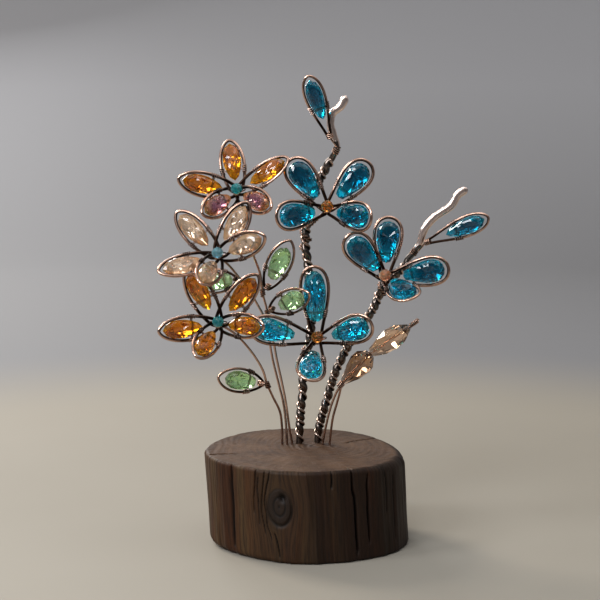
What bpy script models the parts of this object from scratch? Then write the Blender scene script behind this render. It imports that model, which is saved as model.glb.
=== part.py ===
"""Crystal flower suncatcher.

Copper wire flowers, leaves and buds hold faceted glass drops above a round of
dark wood. Metres, +Z up. The origin is the middle of the wood, on the surface
that it stands on, and the flowers face -Y. Every place in the bouquet is
measured from the middle of the wood's top, so a taller round lifts the whole
bouquet.
"""

import math
from dataclasses import dataclass

import bmesh
import bpy
from mathutils import Matrix, Vector

MM = 0.001
TURN = 2 * math.pi

# Round of wood
BASE_RADIUS = 50 * MM
BASE_HEIGHT = 45 * MM
BASE_TOP_ROUND = 2.5 * MM
BASE_FOOT_BEVEL = 1.5 * MM
BASE_WANDER = 1.2 * MM
BASE_LEAN = 1.2 * MM
BASE_LOBES = ((2, 0.6, 0.6), (5, 0.4, 2.0))
BASE_SIDES = 40
ROUND_STEPS = 3
CRACK_DEPTH = 4 * MM
CRACK_WIDTH = 1.4 * MM
CRACK_LENGTH = 30 * MM
CRACK_BEARINGS = (-49.5, -32, 28.5, 37.5)
SOCKET_DEPTH = 20 * MM

# Copper wire, by diameter
CORE_WIRE = 3.0 * MM
WRAP_WIRE = 1.2 * MM
FRAME_WIRE = 1.2 * MM
COIL_WIRE = 0.9 * MM
BINDING_WIRE = 0.6 * MM
CLEARANCE = 0.3 * MM
FRAME_SIDES = 5
WIRE_SIDES = 6
SOCKET_SIDES = 8
SPLINE_STEPS = 2
RAIL_STEPS = 12

# Hammered ends of the two trunks
HAMMERED_WIDTH = 3.4 * MM
HAMMERED_THICKNESS = 1.4 * MM

# Windings
CURL_POINTS = 8
LEFT_PITCH = 7.6 * MM
RIGHT_PITCH = 6.6 * MM
PITCH_WANDER = 0.14
PITCH_BEAT = 0.31
COIL_PITCH = 1.6 * MM
COIL_TURNS = 2
TAIL_TURNS = 1.5
TIP_COIL_ROOM = 6 * MM

# Knots, centre beads and buds
FLOWER_KNOT = 4.0 * MM
LEAF_KNOT = 2.6 * MM
BEAD_DIAMETER = 5.4 * MM
BEAD_STAND = 0.7 * MM
BEAD_ROWS = (-58, -20, 20, 58)
FLOWER_TILT = 25
STAPLE_REACH = 1.0 * MM
LEG_GAP = 0.4 * MM
LOOP_STEPS = 6
LOOP_EASE = 0.75
BUD_GAP = 0.5 * MM
BUD_TIP_KNOB = 2.6 * MM
FACETS = 8


@dataclass(frozen=True)
class Outline:
    """Half width of a leaf: t^rise (1 - t)^fall, scaled to 1, with t from 0 at the root to 1 at the tip."""

    rise: float
    fall: float

    def at(self, t):
        peak = self.rise / (self.rise + self.fall)
        return (t / peak) ** self.rise * ((1 - t) / (1 - peak)) ** self.fall


@dataclass(frozen=True)
class Loop:
    """Wire loop: outer width, and the outline it is bent to."""

    width: float
    outline: Outline


@dataclass(frozen=True)
class Drop:
    """Faceted glass drop, drilled across near its small end."""

    length: float
    width: float
    thickness: float
    hole: float
    tip_room: float
    outline: Outline


@dataclass(frozen=True)
class Petal:
    """One loop: bearing clockwise from up as the viewer sees it, lean to the front and roll, in degrees.

    A petal may hold a drop of its own in place of its flower's.
    """

    bearing: float
    lean: float
    length: float
    roll: float = 0.0
    own_drop: Drop | None = None

    def drop(self, usual):
        """Drop that this petal holds."""
        return self.own_drop or usual


PEAR_OUTLINE = Outline(1.0, 0.5)
SLIM_OUTLINE = Outline(0.85, 0.55)
LEAF_OUTLINE = Outline(0.85, 0.6)
STALK_OUTLINE = Outline(1.5, 0.55)

PEAR_LOOP = Loop(15.0 * MM, PEAR_OUTLINE)
SLIM_LOOP = Loop(12.6 * MM, SLIM_OUTLINE)
LEAF_LOOP = Loop(12.4 * MM, LEAF_OUTLINE)
STALK_LOOP = Loop(11.8 * MM, STALK_OUTLINE)

PEAR_DROP = Drop(21.0 * MM, 11.6 * MM, 8.0 * MM, 4.8 * MM, 2.6 * MM, PEAR_OUTLINE)
LONG_DROP = Drop(25.5 * MM, 11.2 * MM, 8.0 * MM, 4.8 * MM, 2.6 * MM, PEAR_OUTLINE)
SLIM_DROP = Drop(20.7 * MM, 8.8 * MM, 6.0 * MM, 5.8 * MM, 2.6 * MM, SLIM_OUTLINE)
LEAF_DROP = Drop(18.0 * MM, 8.8 * MM, 6.0 * MM, 4.6 * MM, 4.6 * MM, SLIM_OUTLINE)
DROP_ROWS = (12, 32, 54.7, 72, 84)


def place(x, y, z):
    """Point given in millimetres from the middle of the wood's top."""
    return Vector((x * MM, y * MM, z * MM + BASE_HEIGHT))


# Feet of the stems on the wood's top
LEFT_TRUNK_FOOT = (-3.9, 15)
RIGHT_TRUNK_FOOT = (5.4, 17)
UPPER_AMBER_FOOT = (-10.1, 12)
CHAMPAGNE_FOOT = (-7.6, 12)
LOWER_AMBER_FOOT = (-12.5, 12)
BUD_FOOT = (8.1, 12)
BUD_PROP_FOOT = (11.6, 12)

# Routes of the trunks and stems above their feet
LEFT_TRUNK_ROUTE = (
    (-3.5, 15, 10), (-3, 15, 19), (-2, 15, 27), (-2, 15, 34), (0, 15, 46), (2, 15, 59), (2, 15, 71.5),
    (1, 15, 84), (0.4, 15, 92.5), (-0.7, 14.5, 101), (-0.5, 14, 109.5), (0.2, 14.3, 117.5), (2, 14.2, 125),
    (5, 13.8, 132), (9, 12.2, 139.5), (12.3, 9.8, 145.5), (14.8, 8, 151),
)
LEFT_CURL_ROUTE = ((13.3, 7.5, 156), (11.5, 7, 162), (12.5, 7, 167.5), (16.6, 7, 171), (19.1, 7, 176))
RIGHT_TRUNK_ROUTE = (
    (6.2, 17, 8), (7.9, 17, 15), (10.4, 16.5, 23.5), (12.5, 16, 31), (15.2, 15, 39), (18.2, 14.5, 45.5),
    (21.2, 14, 51.5), (25.7, 13.5, 60), (31.2, 13, 66.5), (34.1, 12.5, 71.5), (36.6, 12, 78),
    (39.5, 11, 83), (44.4, 10, 87.5), (48.8, 9, 92), (51.7, 8, 96.5), (54.1, 7, 100.5),
)
RIGHT_CURL_ROUTE = (
    (56, 6.5, 103.5), (58.2, 6, 110.5), (63.3, 6, 116.5), (71.2, 6, 122), (74.6, 6, 127.5), (79, 6, 130.5),
)
UPPER_AMBER_ROUTE = (
    (-10.6, 12.5, 11), (-11.9, 13, 21.5), (-14.4, 13.5, 32), (-17.2, 14, 43.5), (-18.8, 14, 53.5),
    (-20, 14, 68), (-22.1, 13.5, 77), (-23.5, 13, 87.5), (-27, 12, 97.5), (-30.9, 11, 110.5),
    (-33.8, 10.5, 121.5),
)
CHAMPAGNE_ROUTE = (
    (-9.1, 11.5, 11), (-10.6, 11, 22), (-12.6, 11, 32.5), (-15.1, 11, 44), (-17.1, 11, 54), (-21.5, 10, 66),
    (-26.4, 8, 75.5), (-29.9, 6, 81.5), (-33.7, 1.5, 87), (-37.4, -4, 92.5), (-40.6, -10, 96.5),
)
LOWER_AMBER_ROUTE = (
    (-12.6, 12, 9), (-13.6, 11, 17.5), (-17.1, 9, 25.5), (-20, 7, 32.5), (-22, 5.5, 39.5), (-25.4, 4, 46),
    (-29.8, 1.5, 52.5), (-34.7, -2, 58.5), (-39.5, -5, 62.5),
)
BUD_ROUTE = ((10.1, 11, 12.5), (12.1, 10, 20.5), (14.6, 8.5, 27.5))
BUD_PROP_ROUTE = ((12.9, 11, 13.5), (14.9, 9.8, 21.5), (16.4, 8.2, 27.5))
BUD_ROOT = (17.3, 7, 32.5)
BUD_ELBOW = (31.5, 2.9, 48.6)
BUD_TIP = (55.1, -3.4, 66.5)
LOWER_BUD_DIAMETER = 12.5 * MM
UPPER_BUD_DIAMETER = 11.6 * MM
UPPER_BUD_LENGTH = 23.0 * MM

# Tiers of a bud: share of its length, and share of its diameter there
LOWER_BUD_TIERS = ((0.0, 0.3), (0.3, 0.62), (0.62, 1.0), (0.8, 0.84), (1.0, 0.36))
UPPER_BUD_TIERS = ((0.0, 0.34), (0.22, 0.74), (0.46, 1.0), (0.76, 0.86), (0.94, 0.48), (1.0, 0.28))

# Flowers: place of the knot, and the loops round it
UPPER_AMBER_KNOT = (-34.8, 10.4, 128.4)
UPPER_AMBER_PETALS = (
    Petal(350, -30, 30 * MM),
    Petal(56, 9, 31.5 * MM, -40),
    Petal(108, 50, 29 * MM),
    Petal(241, 50, 29 * MM),
    Petal(284, 10, 30.5 * MM),
)
CHAMPAGNE_KNOT = (-43.2, -16.6, 99.4)
CHAMPAGNE_PETALS = (
    Petal(316, -14, 30.5 * MM),
    Petal(29, -13, 30.5 * MM),
    Petal(64, 30, 30 * MM),
    Petal(214, 66, 30 * MM),
    Petal(258, 23, 31.5 * MM, 40),
)
LOWER_AMBER_KNOT = (-43.5, -7.6, 64.6)
LOWER_AMBER_PETALS = (
    Petal(331, 5, 32 * MM),
    Petal(38, 2, 32 * MM),
    Petal(85, 40, 30 * MM),
    Petal(219, 59, 30 * MM),
    Petal(267, 23, 31.5 * MM),
)
TOP_BLUE_KNOT = (9.9, 5.9, 120)
TOP_BLUE_PETALS = (
    Petal(323, -9.5, 31.5 * MM),
    Petal(42, -9, 32 * MM),
    Petal(97, 46, 31 * MM),
    Petal(265, 35, 31 * MM),
)
RIGHT_BLUE_KNOT = (38.4, 2.4, 86.3)
RIGHT_BLUE_PETALS = (
    Petal(320, 10, 29.5 * MM),
    Petal(5, -15, 31.5 * MM),
    Petal(79, 13, 33 * MM),
    Petal(117, 63, 31 * MM, -45),
)
CENTER_BLUE_KNOT = (5.1, 4.4, 55.1)
CENTER_BLUE_PETALS = (
    Petal(357, -1, 37.5 * MM, own_drop=LONG_DROP),
    Petal(69, 27, 32.5 * MM),
    Petal(197, 61, 33 * MM),
    Petal(285, 17, 36 * MM),
)
TOP_BLUE_MEETS = 110
RIGHT_BLUE_MEETS = 84
CENTER_BLUE_MEETS = 54

# Leaves: height on the stem, or place of the knot, and the loop
UPPER_LEAF_HEIGHT = 79.5
UPPER_LEAF = Petal(26, 5, 28 * MM)
MIDDLE_LEAF_HEIGHT = 68.5
MIDDLE_LEAF = Petal(61, 41, 30 * MM)
BACK_LEAF_HEIGHT = 86.0
BACK_LEAF = Petal(260, -33, 25 * MM)
LOWER_LEAF_HEIGHT = 33.5
LOWER_LEAF = Petal(285, 32, 27 * MM)
LEFT_TIP_KNOT = (11.3, 4.5, 155.5)
LEFT_TIP_LEAF = Petal(340, 12, 33.5 * MM)
RIGHT_TIP_KNOT = (58.5, 3, 104)
RIGHT_TIP_LEAF = Petal(66, 15, 34.5 * MM)


def clear_scene():
    """Remove whatever the file opened with."""
    for old in list(bpy.data.objects):
        bpy.data.objects.remove(old, do_unlink=True)


def linear(channel):
    """Linear value of one sRGB channel from 0 to 255."""
    share = channel / 255
    return share / 12.92 if share <= 0.04045 else ((share + 0.055) / 1.055) ** 2.4


def finish(name, colour, roughness, metallic=0.0, transmission=0.0):
    """Plain material with the part's colour, roughness and metallic value."""
    material = bpy.data.materials.new(name)
    material.use_nodes = True
    shader = material.node_tree.nodes["Principled BSDF"]
    shader.inputs["Base Color"].default_value = (*(linear(channel) for channel in colour), 1)
    shader.inputs["Roughness"].default_value = roughness
    shader.inputs["Metallic"].default_value = metallic
    shader.inputs["Transmission Weight"].default_value = transmission
    return material


def mesh_object(name, bm):
    """Object made from a bmesh, at the origin."""
    mesh = bpy.data.meshes.new(name)
    bm.to_mesh(mesh)
    bm.free()
    made = bpy.data.objects.new(name, mesh)
    bpy.context.scene.collection.objects.link(made)
    return made


def dress(made, material, smooth_angle=None):
    """Give the object its material and, on round work, smooth shading below an angle in degrees."""
    made.data.materials.clear()
    made.data.materials.append(material)
    if smooth_angle is not None:
        made.data.shade_smooth()
        made.data.set_sharp_from_angle(angle=math.radians(smooth_angle))


def combine(body, others, operation):
    """Join the other solids to the body, or cut them from it, and remove them."""
    helpers = bpy.data.collections.new("helpers")
    for other in others:
        helpers.objects.link(other)
    modifier = body.modifiers.new(operation.lower(), "BOOLEAN")
    modifier.operation = operation
    modifier.operand_type = "COLLECTION"
    modifier.collection = helpers
    modifier.solver = "EXACT"
    graph = bpy.context.evaluated_depsgraph_get()
    shaped = bpy.data.meshes.new_from_object(body.evaluated_get(graph))
    body.modifiers.clear()
    body.data = shaped
    for other in others:
        bpy.data.objects.remove(other, do_unlink=True)
    bpy.data.collections.remove(helpers)


def smooth(points, steps):
    """Points on a smooth curve through the given ones."""
    ends = [points[0] * 2 - points[1], *points, points[-1] * 2 - points[-2]]
    curve = []
    for a, b, c, d in zip(ends, ends[1:], ends[2:], ends[3:]):
        for step in range(steps):
            t = step / steps
            curve.append(
                b
                + (c - a) * (t / 2)
                + (a * 2 - b * 5 + c * 4 - d) * (t * t / 2)
                + (b * 3 - a - c * 3 + d) * (t * t * t / 2)
            )
    curve.append(points[-1].copy())
    return curve


def directions(points):
    """Unit tangent at every point of a route."""
    before = [points[0], *points[:-1]]
    after = [*points[1:], points[-1]]
    return [(b - a).normalized() for a, b in zip(before, after)]


def carried_sides(points):
    """Tangent and side at every point: the side starts towards +X and is carried along without twisting."""
    tangents = directions(points)
    side = Vector((1, 0, 0))
    side = side - tangents[0] * side.dot(tangents[0])
    if side.length < MM:
        side = tangents[0].orthogonal()
    carried = []
    for before, tangent in zip([tangents[0], *tangents], tangents):
        side = before.rotation_difference(tangent) @ side
        side = (side - tangent * side.dot(tangent)).normalized()
        carried.append((tangent, side))
    return carried


def sweep(bm, points, sections, sides):
    """Closed tube along points: each section is its radius along the carried side and across it."""
    rings = []
    for point, (tangent, side), (along, across) in zip(points, carried_sides(points), sections):
        over = tangent.cross(side)
        ring = []
        for step in range(sides):
            angle = TURN * step / sides
            offset = side * (along * math.cos(angle)) + over * (across * math.sin(angle))
            ring.append(bm.verts.new(point + offset))
        rings.append(ring)
    for low, high in zip(rings, rings[1:]):
        for step in range(sides):
            after = (step + 1) % sides
            bm.faces.new((low[step], low[after], high[after], high[step]))
    bm.faces.new(rings[0][::-1])
    bm.faces.new(rings[-1])


def wire(name, points, diameter, sides=WIRE_SIDES):
    """Round wire along points, as its own object."""
    bm = bmesh.new()
    sweep(bm, points, [(diameter / 2, diameter / 2)] * len(points), sides)
    return mesh_object(name, bm)


def lathe(bm, profile, sides):
    """Closed ring: a closed profile of (radius, height) turned about Z, listed up its outer side."""
    rings = []
    for radius, height in profile:
        ring = []
        for step in range(sides):
            angle = TURN * step / sides
            ring.append(bm.verts.new((radius * math.cos(angle), radius * math.sin(angle), height)))
        rings.append(ring)
    for low, high in zip(rings, rings[1:] + rings[:1]):
        for step in range(sides):
            after = (step + 1) % sides
            bm.faces.new((low[step], low[after], high[after], high[step]))


class Rail:
    """Smooth route of a wire, with a place and directions at any distance along it."""

    def __init__(self, points):
        self.points = smooth(points, RAIL_STEPS)
        self.frames = carried_sides(self.points)
        self.distances = [0.0]
        for a, b in zip(self.points, self.points[1:]):
            self.distances.append(self.distances[-1] + (b - a).length)

    def at(self, distance):
        """Place, tangent, side and over directions at this distance."""
        index = 1
        while index < len(self.distances) - 1 and self.distances[index] < distance:
            index += 1
        span = self.distances[index] - self.distances[index - 1]
        share = (distance - self.distances[index - 1]) / span
        point = self.points[index - 1].lerp(self.points[index], share)
        tangent, side = self.frames[index]
        return point, tangent, side, tangent.cross(side)

    def distance_at_height(self, height):
        """Distance at which the route first rises past this height."""
        for point, distance in zip(self.points, self.distances):
            if point.z >= height:
                return distance
        return self.distances[-1]

    def distance_of(self, point):
        """Distance of the route's own point nearest to this one."""
        nearest = min(range(len(self.points)), key=lambda index: (self.points[index] - point).length)
        return self.distances[nearest]

    def touch_angle(self, distance, start, radius):
        """Winding angle at which a straight run from start meets a coil of this radius, wound downwards."""
        point, tangent, side, over = self.at(distance)
        arm = start - point
        arm = arm - tangent * arm.dot(tangent)
        bearing = math.atan2(arm.dot(over), arm.dot(side))
        return -bearing - math.acos(min(1.0, radius / arm.length))


@dataclass
class Winding:
    """Left-handed helix of wire round a rail, at the start distance where its angle is the origin."""

    rail: Rail
    radius: float
    pitch: float
    start: float
    origin: float = 0.0
    wander: float = 0.0

    def climb(self, angle):
        """Distance along the rail after winding to this angle."""
        turns = (angle - self.origin) / TURN
        return self.start + self.pitch * (turns + self.wander * math.sin(TURN * turns * PITCH_BEAT))

    def point(self, angle, shift=0.0):
        """Point of the helix at this angle, shifted round the rail."""
        centre, _, side, over = self.rail.at(self.climb(angle))
        turned = -angle - shift
        return centre + side * (self.radius * math.cos(turned)) + over * (self.radius * math.sin(turned))

    def run(self, start, turns, shift=0.0):
        """Points of the helix from an angle on, downwards where the count of turns is negative."""
        steps = round(abs(turns) * CURL_POINTS)
        step = math.copysign(TURN / CURL_POINTS, turns)
        return [self.point(start + step * index, shift) for index in range(steps + 1)]


def straight_ends(points, length):
    """The same points with a straight run of this length added at each end."""
    first = points[0] + (points[0] - points[1]).normalized() * length
    last = points[-1] + (points[-1] - points[-2]).normalized() * length
    return [first, *points, last]


def report_gap(name, points, diameter):
    """Print the least gap between the turns of a winding."""
    apart = CURL_POINTS // 2
    least = min(
        (a - b).length
        for index, a in enumerate(points)
        for b in points[index + apart: index + 4 * apart]
    )
    print(f"{name}: least gap between turns {(least - diameter) / MM:.2f} mm")


def petal_axes(petal):
    """Along, across and facing directions of a petal."""
    bearing = math.radians(petal.bearing)
    lean = math.radians(petal.lean)
    front = Vector((0, -1, 0))
    outward = Vector((math.sin(bearing), 0, math.cos(bearing)))
    along = outward * math.cos(lean) + front * math.sin(lean)
    facing = front * math.cos(lean) - outward * math.sin(lean)
    facing = Matrix.Rotation(math.radians(petal.roll), 3, along) @ facing
    return along, along.cross(facing), facing


def half_width(loop, petal, distance):
    """Half width of the loop's centreline at this distance from its knot."""
    length = petal.length - FRAME_WIRE / 2
    t = distance / length
    legs = (FRAME_WIRE / 2 + LEG_GAP / 2) * (1 - t)
    return legs + (loop.width - FRAME_WIRE) / 2 * loop.outline.at(t)


def loop_points(knot, petal, loop):
    """Centreline of a petal's wire, out along one side and back along the other."""
    along, across, _ = petal_axes(petal)
    length = petal.length - FRAME_WIRE / 2
    outward = []
    for step in range(LOOP_STEPS + 1):
        angle = math.pi / 2 * (step / LOOP_STEPS) ** LOOP_EASE
        distance = length * math.sin(angle) ** 2
        outward.append((distance, half_width(loop, petal, distance)))
    path = outward + [(distance, -half) for distance, half in outward[-2::-1]]
    return [knot + along * distance + across * half for distance, half in path]


def hole_distance(petal, drop):
    """Distance from the knot to the hole of the drop in this petal."""
    return petal.length - drop.tip_room - drop.length + drop.hole


def knot_ball(name, centre, diameter):
    """Twisted knot where the loops of one wire meet."""
    bm = bmesh.new()
    bmesh.ops.create_icosphere(bm, subdivisions=1, radius=diameter / 2, matrix=Matrix.Translation(centre))
    return mesh_object(name, bm)


def facing_of_flower():
    """Direction in which a flower's bead stands in front of its knot."""
    tilt = math.radians(FLOWER_TILT)
    return Vector((0, -math.cos(tilt), math.sin(tilt)))


def bead_offset():
    """Distance from a flower's knot to its bead."""
    return (FLOWER_KNOT + BEAD_DIAMETER) / 2 + BEAD_STAND


def staple_points(knot):
    """Binding wire that runs through the bead from side to side and back to the knot."""
    facing = facing_of_flower()
    side = Vector((1, 0, 0))
    reach = BEAD_DIAMETER / 2 + STAPLE_REACH
    depth = bead_offset()
    half = FLOWER_KNOT / 4
    path = ((-half, 0), (-reach, depth / 2), (-reach, depth), (reach, depth), (reach, depth / 2), (half, 0))
    return [knot + side * across + facing * forward for across, forward in path]


def wire_form(name, knot, knot_diameter, petals, loop, drop, tails):
    """One wire form: its loops, the binding wires across them, its knot and its tails, as one solid."""
    body = knot_ball(name, knot, knot_diameter)
    pieces = list(tails)
    for petal in petals:
        along, across, _ = petal_axes(petal)
        hole = hole_distance(petal, petal.drop(drop))
        half = half_width(loop, petal, hole)
        centre = knot + along * hole
        binding = [centre - across * half, centre + across * half]
        pieces.append(wire("loop", loop_points(knot, petal, loop), FRAME_WIRE, FRAME_SIDES))
        pieces.append(wire("binding", binding, BINDING_WIRE, FRAME_SIDES))
    combine(body, pieces, "UNION")
    dress(body, COPPER, 50)
    return body


def drop_mesh(name, drop):
    """Faceted drop with its hole at the origin: X along the hole, Y to the broad end, Z to the front."""
    bm = bmesh.new()
    rings = []
    for row, degrees in enumerate(DROP_ROWS):
        t = math.sin(math.radians(degrees)) ** 2
        swell = drop.outline.at(t)
        ring = []
        for facet in range(FACETS):
            angle = TURN * (facet + row % 2 / 2) / FACETS
            x = drop.width / 2 * swell * math.cos(angle)
            z = drop.thickness / 2 * swell * math.sin(angle)
            ring.append(bm.verts.new((x, drop.length * t - drop.hole, z)))
        rings.append(ring)
    for row, (low, high) in enumerate(zip(rings, rings[1:])):
        for facet in range(FACETS):
            after = (facet + 1) % FACETS
            if row % 2:
                bm.faces.new((low[facet], high[facet], high[after]))
                bm.faces.new((low[facet], high[after], low[after]))
            else:
                bm.faces.new((low[facet], high[facet], low[after]))
                bm.faces.new((low[after], high[facet], high[after]))
    bm.faces.new(rings[0])
    bm.faces.new(rings[-1][::-1])
    body = mesh_object(name, bm)
    reach = Vector((drop.width, 0, 0))
    combine(body, [wire("bore", [-reach, reach], BINDING_WIRE + 2 * CLEARANCE, FRAME_SIDES)], "DIFFERENCE")
    mesh = body.data
    bpy.data.objects.remove(body, do_unlink=True)
    return mesh


def hang_drop(name, parent, petal, drop, material):
    """Drop on the binding wire of its petal, turning about the hole."""
    along, across, facing = petal_axes(petal)
    hung = bpy.data.objects.new(name, drop_mesh(name, drop))
    bpy.context.scene.collection.objects.link(hung)
    hung.parent = parent
    turned = Matrix((across, along, facing)).transposed().to_4x4()
    hung.matrix_basis = Matrix.Translation(along * hole_distance(petal, drop)) @ turned
    dress(hung, material)


def flower_centre(name, knot):
    """Empty at a knot, which carries the glass of its flower or leaf."""
    centre = bpy.data.objects.new(name, None)
    centre.location = knot
    bpy.context.scene.collection.objects.link(centre)
    return centre


def center_bead(name, parent, material):
    """Faceted round bead on its binding wire, in front of the knot."""
    radius = BEAD_DIAMETER / 2
    bore = BINDING_WIRE / 2 + CLEARANCE
    end = math.sqrt(radius * radius - bore * bore)
    profile = [(bore, -end)]
    for degrees in BEAD_ROWS:
        angle = math.radians(degrees)
        profile.append((radius * math.cos(angle), radius * math.sin(angle)))
    profile.append((bore, end))
    bm = bmesh.new()
    lathe(bm, profile, FACETS)
    bead = mesh_object(name, bm)
    bead.parent = parent
    bead.location = facing_of_flower() * bead_offset()
    bead.rotation_euler = (0, math.pi / 2, 0)
    dress(bead, material)


def base_rim(bm, inset, height):
    """Ring of the sawn log's outline, drawn in by an inset and carried aside by the lean."""
    aside = BASE_LEAN * (1 - 2 * height / BASE_HEIGHT)
    ring = []
    for step in range(BASE_SIDES):
        angle = TURN * step / BASE_SIDES
        wander = sum(share * math.cos(lobes * angle + phase) for lobes, share, phase in BASE_LOBES)
        radius = BASE_RADIUS + BASE_WANDER * wander - inset
        ring.append(bm.verts.new((radius * math.cos(angle) + aside, radius * math.sin(angle), height)))
    return ring


def wood_base():
    """Round of wood with a rounded top edge, drying cracks and a socket for every stem."""
    bm = bmesh.new()
    rims = [base_rim(bm, BASE_FOOT_BEVEL, 0), base_rim(bm, 0, BASE_FOOT_BEVEL)]
    for step in range(ROUND_STEPS + 1):
        angle = math.pi / 2 * step / ROUND_STEPS
        inset = BASE_TOP_ROUND * (1 - math.cos(angle))
        rims.append(base_rim(bm, inset, BASE_HEIGHT - BASE_TOP_ROUND * (1 - math.sin(angle))))
    for low, high in zip(rims, rims[1:]):
        for step in range(BASE_SIDES):
            after = (step + 1) % BASE_SIDES
            bm.faces.new((low[step], low[after], high[after], high[step]))
    bm.faces.new(rims[0][::-1])
    bm.faces.new(rims[-1])
    base = mesh_object("wood_base", bm)
    cutters = [crack_cutter(bearing) for bearing in CRACK_BEARINGS]
    cutters += [socket_cutter(foot, CORE_WIRE) for foot in (LEFT_TRUNK_FOOT, RIGHT_TRUNK_FOOT)]
    thin_feet = (UPPER_AMBER_FOOT, CHAMPAGNE_FOOT, LOWER_AMBER_FOOT, BUD_FOOT, BUD_PROP_FOOT)
    cutters += [socket_cutter(foot, FRAME_WIRE) for foot in thin_feet]
    combine(base, cutters, "DIFFERENCE")
    dress(base, WOOD, 40)


def crack_cutter(bearing):
    """Lens that opens a drying crack down the side, at a bearing from the front."""
    outside = BASE_RADIUS + BASE_WANDER
    middle = BASE_HEIGHT / 2
    corners = (
        (0, outside, middle - CRACK_LENGTH / 2),
        (0, outside, middle + CRACK_LENGTH / 2),
        (-CRACK_WIDTH / 2, outside, middle),
        (CRACK_WIDTH / 2, outside, middle),
        (0, outside - CRACK_DEPTH, middle),
    )
    bm = bmesh.new()
    for corner in corners:
        bm.verts.new(corner)
    bmesh.ops.convex_hull(bm, input=bm.verts)
    bmesh.ops.recalc_face_normals(bm, faces=bm.faces)
    bm.transform(Matrix.Rotation(math.pi + math.radians(bearing), 4, "Z"))
    return mesh_object("crack", bm)


def socket_cutter(foot, diameter):
    """Blind hole for the foot of a stem."""
    x, y = foot
    top = place(x, y, 1)
    bottom = Vector((top.x, top.y, BASE_HEIGHT - SOCKET_DEPTH))
    return wire("socket", [bottom, top], diameter + 2 * CLEARANCE, SOCKET_SIDES)


def rooted(foot, route):
    """Route of a stem that starts straight in its socket."""
    x, y = foot
    depth = (SOCKET_DEPTH - CLEARANCE) / MM
    seated = [place(x, y, -depth), place(x, y, -depth / 2), place(x, y, 0), place(x, y, 2)]
    return seated + [place(*point) for point in route]


def trunk(name, foot, route, curl):
    """Thick core wire, with its free end hammered flat and curled, and its rail."""
    controls = rooted(foot, route)
    points = smooth(controls + [place(*point) for point in curl], SPLINE_STEPS)
    plain = (len(controls) - 1) * SPLINE_STEPS
    sections = []
    for index in range(len(points)):
        share = max(0, index - plain) / (len(points) - 1 - plain)
        along = CORE_WIRE + (HAMMERED_WIDTH - CORE_WIRE) * share
        across = CORE_WIRE + (HAMMERED_THICKNESS - CORE_WIRE) * share
        sections.append((along / 2, across / 2))
    bm = bmesh.new()
    sweep(bm, points, sections, WIRE_SIDES)
    dress(mesh_object(name, bm), COPPER, 50)
    rail = Rail(controls + [place(*point) for point in curl])
    return rail, rail.distance_of(controls[-1])


def trunk_wrap(name, rail, curl_start, pitch):
    """Wire wound up a trunk from the wood to the coil of the tip leaf."""
    first = rail.distance_at_height(BASE_HEIGHT) + 2 * WRAP_WIRE
    winding = Winding(rail, (CORE_WIRE + WRAP_WIRE) / 2 + CLEARANCE, pitch, first, wander=PITCH_WANDER)
    turns = (curl_start - TIP_COIL_ROOM - first) / pitch - PITCH_WANDER
    points = winding.run(0.0, turns)
    report_gap(name, points, WRAP_WIRE)
    wrap = wire(name, straight_ends(points, WRAP_WIRE), WRAP_WIRE)
    dress(wrap, COPPER, 50)
    return winding


def trunk_tail(winding, knot, height):
    """End of a flower's wire: straight to the trunk, then down it between the turns of the wrap."""
    rail = winding.rail
    meets = rail.distance_at_height(BASE_HEIGHT + height * MM)
    touch = rail.touch_angle(meets, knot, winding.radius)
    nearest = TURN * (meets - winding.start) / winding.pitch
    half = math.pi
    start = touch - half + TURN * round((nearest - touch + half) / TURN)
    points = [knot, *winding.run(start, -TAIL_TURNS, half)]
    return wire("tail", points, WRAP_WIRE)


def coil_tail(rail, rail_wire, start, knot):
    """End of a leaf's wire: straight to its stem, then coiled down it."""
    radius = (rail_wire + COIL_WIRE) / 2 + CLEARANCE
    touch = rail.touch_angle(start, knot, radius)
    winding = Winding(rail, radius, COIL_PITCH, start, touch)
    points = winding.run(touch, -COIL_TURNS)
    return wire("coil", [knot, *points], COIL_WIRE)


def leaf_knot(rail, petal, height):
    """Knot of a leaf beside its stem, on the side that the leaf points to, and its distance up the stem."""
    distance = rail.distance_at_height(BASE_HEIGHT + height * MM)
    point, tangent, _, _ = rail.at(distance)
    along, _, _ = petal_axes(petal)
    side = (along - tangent * along.dot(tangent)).normalized()
    return point + side * ((FRAME_WIRE + LEAF_KNOT) / 2 + CLEARANCE), distance


def stem_flower(name, knot_place, foot, route, petals, glass, bead_glass):
    """Flower on a stem of its own wire, with its bead and drops."""
    knot = place(*knot_place)
    controls = rooted(foot, route) + [knot]
    stem = wire("stem", smooth(controls, SPLINE_STEPS), FRAME_WIRE, FRAME_SIDES)
    staple = wire("staple", staple_points(knot), BINDING_WIRE, FRAME_SIDES)
    wire_form(f"{name}_flower_frame", knot, FLOWER_KNOT, petals, SLIM_LOOP, SLIM_DROP, [stem, staple])
    dress_flower(name, knot, petals, SLIM_DROP, glass, bead_glass)
    return Rail(controls)


def trunk_flower(name, knot_place, winding, height, petals, glass, bead_glass):
    """Flower whose wire is wound onto a trunk, with its bead and drops."""
    knot = place(*knot_place)
    tail = trunk_tail(winding, knot, height)
    staple = wire("staple", staple_points(knot), BINDING_WIRE, FRAME_SIDES)
    wire_form(f"{name}_flower_frame", knot, FLOWER_KNOT, petals, PEAR_LOOP, PEAR_DROP, [tail, staple])
    dress_flower(name, knot, petals, PEAR_DROP, glass, bead_glass)


def dress_flower(name, knot, petals, drop, glass, bead_glass):
    """Bead and drops of a flower."""
    centre = flower_centre(f"{name}_centre", knot)
    center_bead(f"{name}_bead", centre, bead_glass)
    for number, petal in enumerate(petals, 1):
        hang_drop(f"{name}_drop_{number}", centre, petal, petal.drop(drop), glass)


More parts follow.
